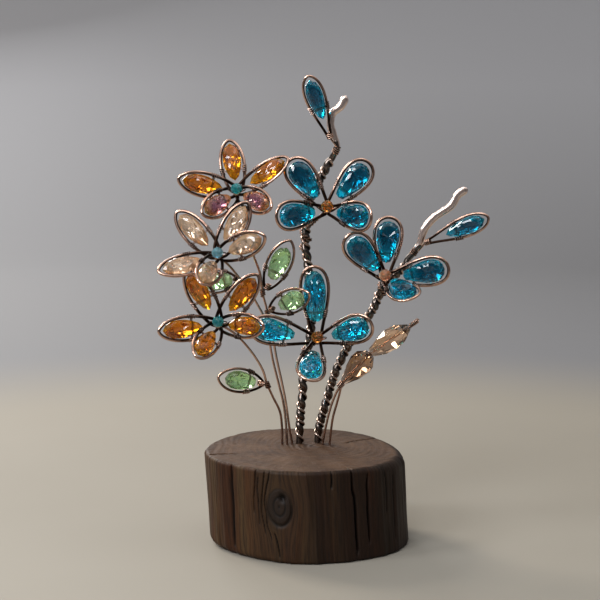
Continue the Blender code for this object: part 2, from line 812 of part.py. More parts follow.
def leaf(name, knot, petal, loop, drop, tail, glass):
    """Single leaf: its wire form and its drop."""
    wire_form(f"{name}_frame", knot, LEAF_KNOT, [petal], loop, drop, [tail])
    centre = flower_centre(f"{name}_centre", knot)
    hang_drop(f"{name}_drop", centre, petal, drop, glass)


def stem_leaf(name, rail, petal, height, glass):
    """Leaf coiled on a flower's stem."""
    knot, distance = leaf_knot(rail, petal, height)
    leaf(name, knot, petal, LEAF_LOOP, LEAF_DROP, coil_tail(rail, FRAME_WIRE, distance, knot), glass)


def tip_leaf(name, rail, curl_start, knot_place, petal, glass):
    """Leaf coiled on the top of a trunk, below the curl."""
    knot = place(*knot_place)
    leaf(name, knot, petal, STALK_LOOP, SLIM_DROP, coil_tail(rail, CORE_WIRE, curl_start, knot), glass)


def bud_stem():
    """Wire through the two buds, its prop from the wood, and the knob that keeps the buds on."""
    root = place(*BUD_ROOT)
    elbow = place(*BUD_ELBOW)
    tip = place(*BUD_TIP)
    leg = smooth(rooted(BUD_FOOT, BUD_ROUTE) + [root], SPLINE_STEPS)
    prop = smooth(rooted(BUD_PROP_FOOT, BUD_PROP_ROUTE) + [root], SPLINE_STEPS)
    stem = wire("bud_stem", leg + [elbow, tip], FRAME_WIRE, FRAME_SIDES)
    upward = (tip - elbow).normalized()
    knob_start = elbow + upward * (UPPER_BUD_LENGTH + 2 * BUD_GAP + CLEARANCE)
    knob = wire("knob", [knob_start, tip + upward * FRAME_WIRE], BUD_TIP_KNOB)
    collar = knot_ball("collar", root, LEAF_KNOT)
    combine(stem, [wire("prop", prop, FRAME_WIRE, FRAME_SIDES), collar, knob], "UNION")
    dress(stem, COPPER, 50)
    lower_start = LEAF_KNOT / 2 + CLEARANCE
    lower_length = (elbow - root).length - lower_start - BUD_GAP
    bud("lower_bud", root, elbow, lower_start, lower_length, LOWER_BUD_DIAMETER, LOWER_BUD_TIERS)
    bud("upper_bud", elbow, tip, 2 * BUD_GAP, UPPER_BUD_LENGTH, UPPER_BUD_DIAMETER, UPPER_BUD_TIERS)


def bud(name, low, high, start, length, diameter, tiers):
    """Long faceted bud in tiers, bored along its length, on the wire from low to high."""
    axis = (high - low).normalized()
    bore = FRAME_WIRE / 2 + CLEARANCE
    outer = [(diameter / 2 * width, length * share) for share, width in tiers]
    profile = [(bore, 0), *outer, (bore, length)]
    bm = bmesh.new()
    lathe(bm, profile, FACETS)
    made = mesh_object(name, bm)
    made.rotation_euler = axis.to_track_quat("Z", "Y").to_euler()
    made.location = low + axis * start
    dress(made, CHAMPAGNE_GLASS)


clear_scene()

WOOD = finish("oiled reclaimed wood", (84, 58, 40), 0.6)
COPPER = finish("oxidised copper wire", (126, 78, 56), 0.35, metallic=1.0)
AMBER_GLASS = finish("amber glass", (226, 140, 34), 0.03, transmission=0.9)
CHAMPAGNE_GLASS = finish("champagne glass", (232, 196, 164), 0.03, transmission=0.9)
TEAL_GLASS = finish("teal blue glass", (0, 108, 148), 0.03, transmission=0.9)
CYAN_GLASS = finish("cyan blue glass", (16, 140, 180), 0.03, transmission=0.9)
GREEN_GLASS = finish("peridot glass", (126, 180, 104), 0.03, transmission=0.9)
AQUA_GLASS = finish("aqua glass", (96, 184, 212), 0.03, transmission=0.9)
BROWN_GLASS = finish("brown amber glass", (168, 92, 26), 0.03, transmission=0.9)
PEACH_GLASS = finish("peach glass", (236, 158, 120), 0.03, transmission=0.9)

wood_base()

left_rail, left_curl_start = trunk("left_trunk", LEFT_TRUNK_FOOT, LEFT_TRUNK_ROUTE, LEFT_CURL_ROUTE)
left_wrap = trunk_wrap("left_trunk_wrap", left_rail, left_curl_start, LEFT_PITCH)
right_rail, right_curl_start = trunk("right_trunk", RIGHT_TRUNK_FOOT, RIGHT_TRUNK_ROUTE, RIGHT_CURL_ROUTE)
right_wrap = trunk_wrap("right_trunk_wrap", right_rail, right_curl_start, RIGHT_PITCH)

upper_amber_rail = stem_flower(
    "upper_amber", UPPER_AMBER_KNOT, UPPER_AMBER_FOOT, UPPER_AMBER_ROUTE, UPPER_AMBER_PETALS,
    AMBER_GLASS, TEAL_GLASS,
)
champagne_rail = stem_flower(
    "champagne", CHAMPAGNE_KNOT, CHAMPAGNE_FOOT, CHAMPAGNE_ROUTE, CHAMPAGNE_PETALS,
    CHAMPAGNE_GLASS, AQUA_GLASS,
)
lower_amber_rail = stem_flower(
    "lower_amber", LOWER_AMBER_KNOT, LOWER_AMBER_FOOT, LOWER_AMBER_ROUTE, LOWER_AMBER_PETALS,
    AMBER_GLASS, TEAL_GLASS,
)
trunk_flower(
    "top_blue", TOP_BLUE_KNOT, left_wrap, TOP_BLUE_MEETS, TOP_BLUE_PETALS, TEAL_GLASS, BROWN_GLASS,
)
trunk_flower(
    "right_blue", RIGHT_BLUE_KNOT, right_wrap, RIGHT_BLUE_MEETS, RIGHT_BLUE_PETALS,
    TEAL_GLASS, PEACH_GLASS,
)
trunk_flower(
    "center_blue", CENTER_BLUE_KNOT, left_wrap, CENTER_BLUE_MEETS, CENTER_BLUE_PETALS,
    CYAN_GLASS, BROWN_GLASS,
)

stem_leaf("upper_green_leaf", upper_amber_rail, UPPER_LEAF, UPPER_LEAF_HEIGHT, GREEN_GLASS)
stem_leaf("middle_green_leaf", upper_amber_rail, MIDDLE_LEAF, MIDDLE_LEAF_HEIGHT, GREEN_GLASS)
stem_leaf("back_green_leaf", champagne_rail, BACK_LEAF, BACK_LEAF_HEIGHT, GREEN_GLASS)
stem_leaf("lower_green_leaf", lower_amber_rail, LOWER_LEAF, LOWER_LEAF_HEIGHT, GREEN_GLASS)
tip_leaf("left_tip_leaf", left_rail, left_curl_start, LEFT_TIP_KNOT, LEFT_TIP_LEAF, TEAL_GLASS)
tip_leaf("right_tip_leaf", right_rail, right_curl_start, RIGHT_TIP_KNOT, RIGHT_TIP_LEAF, TEAL_GLASS)

bud_stem()
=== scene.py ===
"""Crystal flower suncatcher, dressed for its portrait.

Copper wire flowers, leaves and buds hold faceted glass above a round of dark
wood. Sizes and places are millimetres, measured from the middle of the wood's
top, until a piece's mesh is made in metres.
"""

import logging
import math
from collections.abc import Callable, Sequence
from dataclasses import dataclass, field
from enum import Enum
from functools import partial

import bpy
import numpy as np
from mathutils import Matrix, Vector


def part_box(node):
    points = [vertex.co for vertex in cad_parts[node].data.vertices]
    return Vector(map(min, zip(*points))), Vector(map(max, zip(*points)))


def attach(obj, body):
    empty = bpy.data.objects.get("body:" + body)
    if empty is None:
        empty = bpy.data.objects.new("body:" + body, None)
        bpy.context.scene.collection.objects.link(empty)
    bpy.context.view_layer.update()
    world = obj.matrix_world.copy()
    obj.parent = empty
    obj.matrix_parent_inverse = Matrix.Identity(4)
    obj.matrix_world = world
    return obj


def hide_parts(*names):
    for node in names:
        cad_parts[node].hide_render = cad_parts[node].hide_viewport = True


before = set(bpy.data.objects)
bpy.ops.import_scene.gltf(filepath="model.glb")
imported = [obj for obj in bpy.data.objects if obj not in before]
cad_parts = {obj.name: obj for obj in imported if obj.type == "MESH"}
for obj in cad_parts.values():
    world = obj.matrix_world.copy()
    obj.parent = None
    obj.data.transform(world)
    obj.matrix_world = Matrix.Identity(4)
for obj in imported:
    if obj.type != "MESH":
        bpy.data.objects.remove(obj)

LOG = logging.getLogger("suncatcher")

Array = np.ndarray
Pair = tuple[float, float]
Triple = tuple[float, float, float]
Four = tuple[float, float, float, float]
Point = Triple
Foot = Pair
Tiers = tuple[Pair, ...]
Node = bpy.types.Node
Socket = bpy.types.NodeSocket
NodeAdder = Callable[..., Node]
Material = bpy.types.Material

MM = 0.001
TURN = 2 * math.pi
RIGHT = np.array([1.0, 0.0, 0.0])
BACK = np.array([0.0, 1.0, 0.0])
UP = np.array([0.0, 0.0, 1.0])

BOUQUET = "bouquet"

# Copper wire, by diameter
FRAME_WIRE = 1.2
COIL_WIRE = 0.9
BINDING_WIRE = 0.6

# Half thickness and half width of the wire pressed into a flower's loops
FRAME_FACE = 0.66
FRAME_EDGE = 0.82

# Angle round a wire at which rubbing bared it most, turned to the side the light falls on: the bared side is
# partly a painted highlight, and the side across from it partly painted shade
RUBBED_AND_LIT_SIDE = 1.4

# Angles over which a wire's filed end rounds off, in degrees
END_ANGLES = (80, 55, 28)

# Climb of a close turn, in wire widths
CLOSE_TURN = 1.1

# Sides of a wire's section
WIRE_SIDES = 12
FINE_SIDES = 8
CURL_SIDES = 16

# Samples on a span, on a turn, on a loop and on a girdle, and steps along a wire and a twist
CURVE_STEPS = 12
TURN_POINTS = 20
LOOP_POINTS = 97
GIRDLE_POINTS = 721
WIRE_SPACING = 0.9
TWIST_SPACING = 0.4

# Stems stand this deep in the wood; down at their foot they keep this share of the rubbing mark, so they are
# darker there, and the share grows to all of it at this height
STEM_DEPTH = 19.7
FOOT_WEAR_SHARE = 0.6
DARKENING_HEIGHT = 50.0


def rgba(code: str) -> Four:
    """Turn an sRGB hex colour into linear red, green, blue and full alpha.

    Args:
        code: Six hex digits after a hash.

    Returns:
        The linear channels, each at most 1, and 1 for alpha.
    """
    share = np.array([int(code[at:at + 2], 16) for at in (1, 3, 5)]) / 255
    linear = np.where(share <= 0.04045, share / 12.92, ((share + 0.055) / 1.055) ** 2.4)
    return (*linear.tolist(), 1.0)


def per_mm(size: float) -> float:
    """Texture scale at which one cell of a pattern is this many millimetres wide."""
    return 1 / (size * MM)


def add_node(
    tree: bpy.types.NodeTree,
    kind: str,
    values: dict[str | int, object] | None = None,
    **settings: object,
) -> Node:
    """Add a node, give it its settings, and fill or link its sockets.

    Args:
        tree: Node tree that takes the node.
        kind: Blender's name for the node, after "ShaderNode".
        values: For each socket, the constant it holds, or the output linked to it. A node links
            the first output that its settings leave in use.
        **settings: The node's own properties.

    Returns:
        The new node.
    """
    node = tree.nodes.new(f"ShaderNode{kind}")
    for setting, value in settings.items():
        setattr(node, setting, value)
    for socket, value in (values or {}).items():
        if isinstance(value, Node):
            value = next(output for output in value.outputs if output.enabled)
        if isinstance(value, Socket):
            tree.links.new(value, node.inputs[socket])
        else:
            node.inputs[socket].default_value = value
    return node


def bare(owner: Material | bpy.types.World) -> NodeAdder:
    """Give a new material or world an empty node tree.

    Args:
        owner: The material or world.

    Returns:
        The function that adds a node to its tree.
    """
    owner.use_nodes = True
    owner.node_tree.nodes.clear()
    return partial(add_node, owner.node_tree)


def unit(vectors: Array) -> Array:
    """Vectors scaled to a length of 1."""
    return vectors / np.linalg.norm(vectors, axis=-1, keepdims=True)


def eased(low: float, high: float, value: Array) -> Array:
    """Rise from 0 at low to 1 at high along 3s^2 - 2s^3."""
    share = np.clip((value - low) / (high - low), 0, 1)
    return share * share * (3 - 2 * share)


def through(points: Sequence[Point], steps: int = CURVE_STEPS) -> Array:
    """Lay a smooth curve through points.

    Each span is the cubic that leaves and reaches its two points with half the
    step between their neighbours, and the end points are mirrored outwards.

    Args:
        points: Places that the curve passes, in order.
        steps: Samples on each span.

    Returns:
        Samples of the curve, one row each.
    """
    row = np.asarray(points, float)
    row = np.vstack([2 * row[:1] - row[1:2], row, 2 * row[-1:] - row[-2:-1]])
    a, b, c, d = (row[at:len(row) - 3 + at, None] for at in range(4))
    t = (np.arange(steps) / steps)[None, :, None]
    spans = b + (c - a) * t / 2 + (2 * a - 5 * b + 4 * c - d) * t**2 / 2 + (3 * b - a - 3 * c + d) * t**3 / 2
    return np.vstack([spans.reshape(-1, 3), row[-2]])


def travelled(path: Array) -> Array:
    """Distance along a path at each of its points."""
    steps = np.linalg.norm(np.diff(path, axis=0), axis=1)
    return np.concatenate([[0.0], np.cumsum(steps)])


def evened(path: Array, spacing: float = WIRE_SPACING) -> Array:
    """Lay points an even spacing apart on a path.

    Args:
        path: Points in order.
        spacing: Distance from point to point.

    Returns:
        The same path with its new points.
    """
    run = travelled(path)
    wanted = np.linspace(0, run[-1], max(3, round(run[-1] / spacing)))
    return np.stack([np.interp(wanted, run, path[:, axis]) for axis in range(3)], axis=-1)


def squared(path: Array, side: Array) -> tuple[Array, Array, Array]:
    """Give a path its directions.

    Args:
        path: Points in order.
        side: Rough side direction, one for all points or one each.

    Returns:
        The unit tangent, the side made square to it, and tangent x side.
    """
    ahead = unit(np.gradient(path, axis=0))
    first = unit(side - ahead * np.sum(ahead * side, axis=-1, keepdims=True))
    return ahead, first, np.cross(ahead, first)


def rooted(foot: Foot, route: Sequence[Point]) -> list[Point]:
    """Route of a stem that starts straight down in its hole in the wood."""
    x, y = foot
    return [(x, y, -STEM_DEPTH), (x, y, -STEM_DEPTH / 2), (x, y, 0), (x, y, 2), *route]


def darker_at_foot(path: Array) -> Array:
    """Share of the rubbing mark that a stem keeps: less down by the wood, so the stem is darker towards its
    foot.
    """
    return FOOT_WEAR_SHARE + (1 - FOOT_WEAR_SHARE) * eased(0, DARKENING_HEIGHT, path[:, 2])


def lattice_noise(across: Array, along: Array, cells: tuple[int, int], seed: int) -> Array:
    """Smooth noise from -1 to 1 that repeats after a number of cells each way.

    Random values sit on the corners of a lattice, and between four corners the
    noise is their mean, weighted by 3s^2 - 2s^3 in each direction.

    Args:
        across: Place in cells along the first direction.
        along: Place in cells along the second.
        cells: Cells after which the noise repeats.
        seed: Seed of the random values.

    Returns:
        The noise at every place.
    """
    corner = np.random.default_rng(seed).uniform(-1, 1, cells)
    column = np.floor(across).astype(int)
    row = np.floor(along).astype(int)
    s = eased(0, 1, across - column)
    t = eased(0, 1, along - row)
    left, right = column % cells[0], (column + 1) % cells[0]
    low, high = row % cells[1], (row + 1) % cells[1]
    bottom = corner[left, low] * (1 - s) + corner[right, low] * s
    top = corner[left, high] * (1 - s) + corner[right, high] * s
    return bottom * (1 - t) + top * t


@dataclass
class Surface:
    """Points with the faces between them, and values painted on the points.

    Attributes:
        points: One row of x, y and z for each point.
        quads: Four point numbers for each four-sided face.
        triangles: Three point numbers for each triangle.
        marks: Painted values by name, one number or one vector for each point.
    """

    points: Array
    quads: Array = field(default_factory=lambda: np.empty((0, 4), int))
    triangles: Array = field(default_factory=lambda: np.empty((0, 3), int))
    marks: dict[str, Array] = field(default_factory=dict)


def joined(parts: Sequence[Surface]) -> Surface:
    """Put several surfaces into one.

    Args:
        parts: Surfaces that carry the same marks.

    Returns:
        One surface with all their faces.
    """
    starts = np.cumsum([0, *(len(part.points) for part in parts[:-1])])
    return Surface(
        np.vstack([part.points for part in parts]),
        np.vstack([part.quads + start for part, start in zip(parts, starts)]),
        np.vstack([part.triangles + start for part, start in zip(parts, starts)]),
        {name: np.concatenate([part.marks[name] for part in parts]) for name in parts[0].marks},
    )


def loft(rings: Array, marks: dict[str, Array], open_start: bool = False) -> Surface:
    """Skin a stack of rings, and close its ends with a fan to each end's middle.

    Args:
        rings: Points by row and by step round the ring, turning left about the way the rows go.
        marks: Painted values by row and by step.
        open_start: Leave the first ring open.

    Returns:
        The skin, with its faces outwards.
    """
    rows, sides = rings.shape[:2]
    number = np.arange(rows * sides).reshape(rows, sides)
    after = np.roll(number, -1, axis=1)
    quads = np.stack([number[:-1], after[:-1], after[1:], number[1:]], axis=-1).reshape(-1, 4)
    poles = np.broadcast_to(rows * sides + np.arange(2)[:, None], (2, sides))
    start = np.stack([after[0], number[0], poles[0]], axis=-1)
    end = np.stack([number[-1], after[-1], poles[1]], axis=-1)
    painted = {
        name: np.concatenate([value.reshape(-1, *value.shape[2:]), value[[0, -1]].mean(axis=1)])
        for name, value in marks.items()
    }
    return Surface(
        np.vstack([rings.reshape(-1, 3), rings[[0, -1]].mean(axis=1)]),
        quads,
        end if open_start else np.vstack([start, end]),
        painted,
    )


def facet_loft(rings: Array, turned: Sequence[bool], depth: Array) -> Surface:
    """Skin rings with cut facets.

    Where one ring is turned half a step against the next, the band between them
    is a row of triangles that point up and down in turn. Elsewhere it is a row
    of four-sided facets. Flat tables close both ends.

    Args:
        rings: Points by row and by step, turning left about the way the rows go.
        turned: For each row, whether it is turned half a step on.
        depth: Painted depth of the glass, by row and step.

    Returns:
        The cut stone.
    """
    stone = loft(rings, {"depth": depth})
    rows, sides = rings.shape[:2]
    number = np.arange(rows * sides).reshape(rows, sides)
    after = np.roll(number, -1, axis=1)
    quads = [np.empty((0, 4), int)]
    triangles = [stone.triangles]
    for row in range(rows - 1):
        low, low_next, high, high_next = number[row], after[row], number[row + 1], after[row + 1]
        if turned[row] == turned[row + 1]:
            quads.append(np.stack([low, low_next, high_next, high], axis=-1))
        else:
            above, below = (high, low_next) if turned[row + 1] else (high_next, low)
            triangles.append(np.stack([low, low_next, above], axis=-1))
            triangles.append(np.stack([below, high_next, high], axis=-1))
    return Surface(stone.points, np.vstack(quads), np.vstack(triangles), stone.marks)


def tube(
    path: Array, radius: float | Array, side: Array, sides: int = WIRE_SIDES, rub: float | Array = 1.0
) -> Surface:
    """Carry a round or oval section along a path, with filed round ends.

    The section is centre + first a cos(angle) + second b sin(angle), where first
    is the side made square to the path. The ends shrink along a quarter circle.
    The mark is 1 near the second direction and 0 across from it, all scaled by the rub. It stands
    partly for real rubbing, where fingers and polishing cloths reach, and partly for a painted
    highlight on the side that faces the light, with painted shade across from it.

    Args:
        path: Centre line.
        radius: One radius, or the two half widths a and b for each point.
        side: Rough side direction, one for all points or one each.
        sides: Sides of the section.
        rub: Scale of the rubbing mark, one for all points or one each: below 1 the wire is darker there.

    Returns:
        The closed wire.
    """
    half = np.broadcast_to(np.asarray(radius, float), (len(path), 2))
    ahead, first, second = squared(path, side)
    lift = np.radians(END_ANGLES)[:, None]
    start = path[0] - ahead[0] * half[0].min() * np.sin(lift)
    end = path[-1] + ahead[-1] * half[-1].min() * np.sin(lift[::-1])
    centre = np.vstack([start, path, end])[:, None]
    half = np.vstack([half[0] * np.cos(lift), half, half[-1] * np.cos(lift[::-1])])[:, None]
    caps = len(lift)
    first = np.pad(first, ((caps, caps), (0, 0)), mode="edge")[:, None]
    second = np.pad(second, ((caps, caps), (0, 0)), mode="edge")[:, None]
    angle = (TURN * np.arange(sides) / sides)[None, :, None]
    rings = centre + first * half[..., :1] * np.cos(angle) + second * half[..., 1:] * np.sin(angle)
    rubbed = np.pad(np.broadcast_to(np.asarray(rub, float), (len(path),)), caps, mode="edge")
    # Partly real rubbing, partly a painted highlight on the lit side and painted shade on the far side
    wear_and_highlight = rubbed[:, None] * (0.5 + 0.5 * np.cos(angle[..., 0] - RUBBED_AND_LIT_SIDE))
    return loft(rings, {"wear_and_highlight": wear_and_highlight})


class Rail:
    """Path of a wire, with a place and directions at any distance along it."""

    def __init__(self, path: Array, side: Array) -> None:
        """Measure the path and square its sides.

        Args:
            path: Points in order.
            side: Rough side direction.
        """
        self.path = path
        self.run = travelled(path)
        self.directions = squared(path, side)

    def at(self, distance: Array) -> tuple[Array, Array, Array, Array]:
        """Centre, tangent, first and second side directions at distances along the path."""
        rows = (self.path, *self.directions)
        return tuple(
            np.stack([np.interp(distance, self.run, row[:, axis]) for axis in range(3)], axis=-1)
            for row in rows
        )

    def at_height(self, height: float) -> float:
        """Distance at which the path first reaches a height."""
        return float(self.run[np.argmax(self.path[:, 2] >= height)])

    def wound(self, distance: Array, angle: Array, radius: float | Array) -> tuple[Array, Array]:
        """Wind a line round the path.

        Args:
            distance: Distance along the path, for each point of the line.
            angle: Angle round the path, for each point.
            radius: Distance from the path.

        Returns:
            The line: centre + radius (first cos(angle) + second sin(angle)), and its outward directions.
        """
        centre, _, first, second = self.at(distance)
        outward = first * np.cos(angle)[:, None] + second * np.sin(angle)[:, None]
        return centre + outward * np.reshape(radius, (-1, 1)), outward

    def meets(self, distance: float, start: Array, radius: float) -> float:
        """Angle at which a straight wire runs onto a coil.

        Args:
            distance: Distance of the coil along the path.
            start: Start of the straight wire.
            radius: Radius of the coil.

        Returns:
            The angle round the path, where the wire touches the coil's circle.
        """
        centre, _, first, second = self.at(np.array([distance]))
        arm = start - centre[0]
        over, out = arm @ second[0], arm @ first[0]
        return math.atan2(over, out) + math.acos(min(1.0, radius / math.hypot(over, out)))


def spring(low: Array, high: Array, radius: float, turns: float, wire: float) -> Surface:
    """Small coil of wire round the straight line from low to high.

    Args:
        low: Middle of one end.
        high: Middle of the other end.
        radius: Radius of the wire's centre line.
        turns: Turns of the coil.
        wire: Diameter of the wire.

    Returns:
        The coil.
    """
    way = high - low
    axis = np.argmin(np.abs(way))
    rail = Rail(np.linspace(low, high, 3), np.eye(3)[axis])
    share = np.linspace(0, 1, round(turns * TURN_POINTS))
    line, outward = rail.wound(share * rail.run[-1], -TURN * turns * share, radius)
    return tube(line, wire / 2, outward, FINE_SIDES)


@dataclass(frozen=True)
class CopperFinish:
    """Copper wire, drawn, bent by hand and tarnished, then rubbed back where fingers reach.

    It gives a rose glint along the rubbed side of a wire, which is turned to the light so the glint is partly
    a painted highlight, and brown to black in its hollows and on the far side, which is partly painted shade.

    Attributes:
        name: Name of the material.
        rubbed: Colour of the bared metal.
        tarnished: Colour of the oxide.
        bareness: How far the rubbing goes, from -0.5 for hardly to 0.5 for nearly all.
        smooth: Roughness of the bared metal.
        rough: Roughness of the oxide.
        dent: Width of a hammer dent, or 0 for plain wire.
        dent_depth: Depth of a dent, or of the scratches on plain wire.
        slot: Material slot in the record; not used.
        blotch: Width of a blotch of tarnish.
        scratch: Width of a scratch.
        blend: Half the span over which the metal turns from bare to tarnished.
    """

    name: str
    rubbed: str
    tarnished: str
    bareness: float
    smooth: float = 0.22
    rough: float = 0.45
    dent: float = 0.0
    dent_depth: float = 0.03
    slot: str = "copper_wire"
    blotch: float = 4.5
    scratch: float = 0.8
    blend: float = 0.28

    def material(self) -> Material:
        """Mix bared and tarnished metal by blotches and by the rubbing mark, which is partly a painted
        highlight and shade, over drawn or hammered relief.

        Returns:
            The material.
        """
        material = bpy.data.materials.new(self.name)
        add = bare(material)
        place = add("TexCoord").outputs["Object"]
        blotch = add(
            "TexNoise", {"Vector": place, "Scale": per_mm(self.blotch), "Detail": 4.0, "Roughness": 0.65}
        )
        scratch = add("TexNoise", {"Vector": place, "Scale": per_mm(self.scratch), "Detail": 3.0})
        # Rubbing mark: partly real rubbing, partly a painted highlight on the lit side of the wire and
        # painted shade on its far side
        wear_and_highlight = add("Attribute", attribute_name="wear_and_highlight")
        oxide = add("Math", {0: blotch, 1: wear_and_highlight.outputs["Fac"]}, operation="SUBTRACT")
        bared, covered = self.bareness - self.blend, self.bareness + self.blend
        cover = add("MapRange", {"Value": oxide, "From Min": bared, "From Max": covered})
        colour = add("Mix", {0: cover, 6: rgba(self.rubbed), 7: rgba(self.tarnished)}, data_type="RGBA")
        gloss = add("MapRange", {"Value": cover, "To Min": self.smooth, "To Max": self.rough})
        relief = scratch
        if self.dent:
            relief = add("TexVoronoi", {"Vector": place, "Scale": per_mm(self.dent)}, feature="SMOOTH_F1")
        bump = add("Bump", {"Height": relief, "Strength": 0.5, "Distance": self.dent_depth * MM})
        shader = add(
            "BsdfPrincipled", {"Base Color": colour, "Metallic": 1.0, "Roughness": gloss, "Normal": bump}
        )
        add("OutputMaterial", {"Surface": shader})
        return material


@dataclass(frozen=True)
class GlassFinish:
    """Cut and fire-polished glass, coloured right through.

    The colour is light at the thin edge and towards a drop's small end, where it is partly a painted
    glow of light caught in the tip, and deepens where the stone is thick, with faint
    streaks from the melt, and the polish shows soft smears.

    Attributes:
        name: Name of the material.
        slot: Material slot in the record; not used.
        thin: Colour at the edge.
        deep: Colour through the thickest part.
        milk: Share of the light that the thick glass scatters, and three times that at the thin edge.
        streak: Width of a streak.
        streak_depth: Depth that a streak adds.
        depths: Depths between which the colour changes.
        smear: Width of a smear.
        smears: Values of the smear's noise between which the polish dulls.
        dullest: Roughness of the dullest polish.
        index: Refractive index.
        scatter: Distance that light spreads in milky glass.
    """

    name: str
    slot: str
    thin: str
    deep: str
    milk: float = 0.0
    streak: float = 5.0
    streak_depth: float = 0.4
    depths: Pair = (0.15, 0.85)
    smear: float = 2.5
    smears: Pair = (0.4, 0.7)
    dullest: float = 0.03
    index: float = 1.56
    scatter: float = 5.0

    def material(self) -> Material:
        """Tint clear glass by its depth and its streaks.

        Returns:
            The material.
        """
        material = bpy.data.materials.new(self.name)
        add = bare(material)
        place = add("TexCoord").outputs["Object"]
        streak = add(
            "TexNoise", {"Vector": place, "Scale": per_mm(self.streak), "Detail": 2.0, "Distortion": 1.0}
        )
        smear = add("TexNoise", {"Vector": place, "Scale": per_mm(self.smear), "Detail": 3.0})
        depth = add("Attribute", attribute_name="depth")
        thick = add(
            "Math", {0: streak, 1: self.streak_depth, 2: depth.outputs["Fac"]}, operation="MULTIPLY_ADD"
        )
        share = add("MapRange", {"Value": thick, "From Min": self.depths[0], "From Max": self.depths[1]})
        colour = add("Mix", {0: share, 6: rgba(self.thin), 7: rgba(self.deep)}, data_type="RGBA")
        clear = add("MapRange", {"Value": share, "To Min": 1 - 3 * self.milk, "To Max": 1 - self.milk})
        clean, dull = self.smears
        gloss = add(
            "MapRange", {"Value": smear, "From Min": clean, "From Max": dull, "To Max": self.dullest}
        )
        shader = add(
            "BsdfPrincipled",
            {
                "Base Color": colour, "Roughness": gloss, "IOR": self.index, "Transmission Weight": clear,
                "Subsurface Weight": 1.0, "Subsurface Radius": (1.0, 1.0, 1.0),
                "Subsurface Scale": self.scatter * MM,
            },
        )
        add("OutputMaterial", {"Surface": shader})
        return material


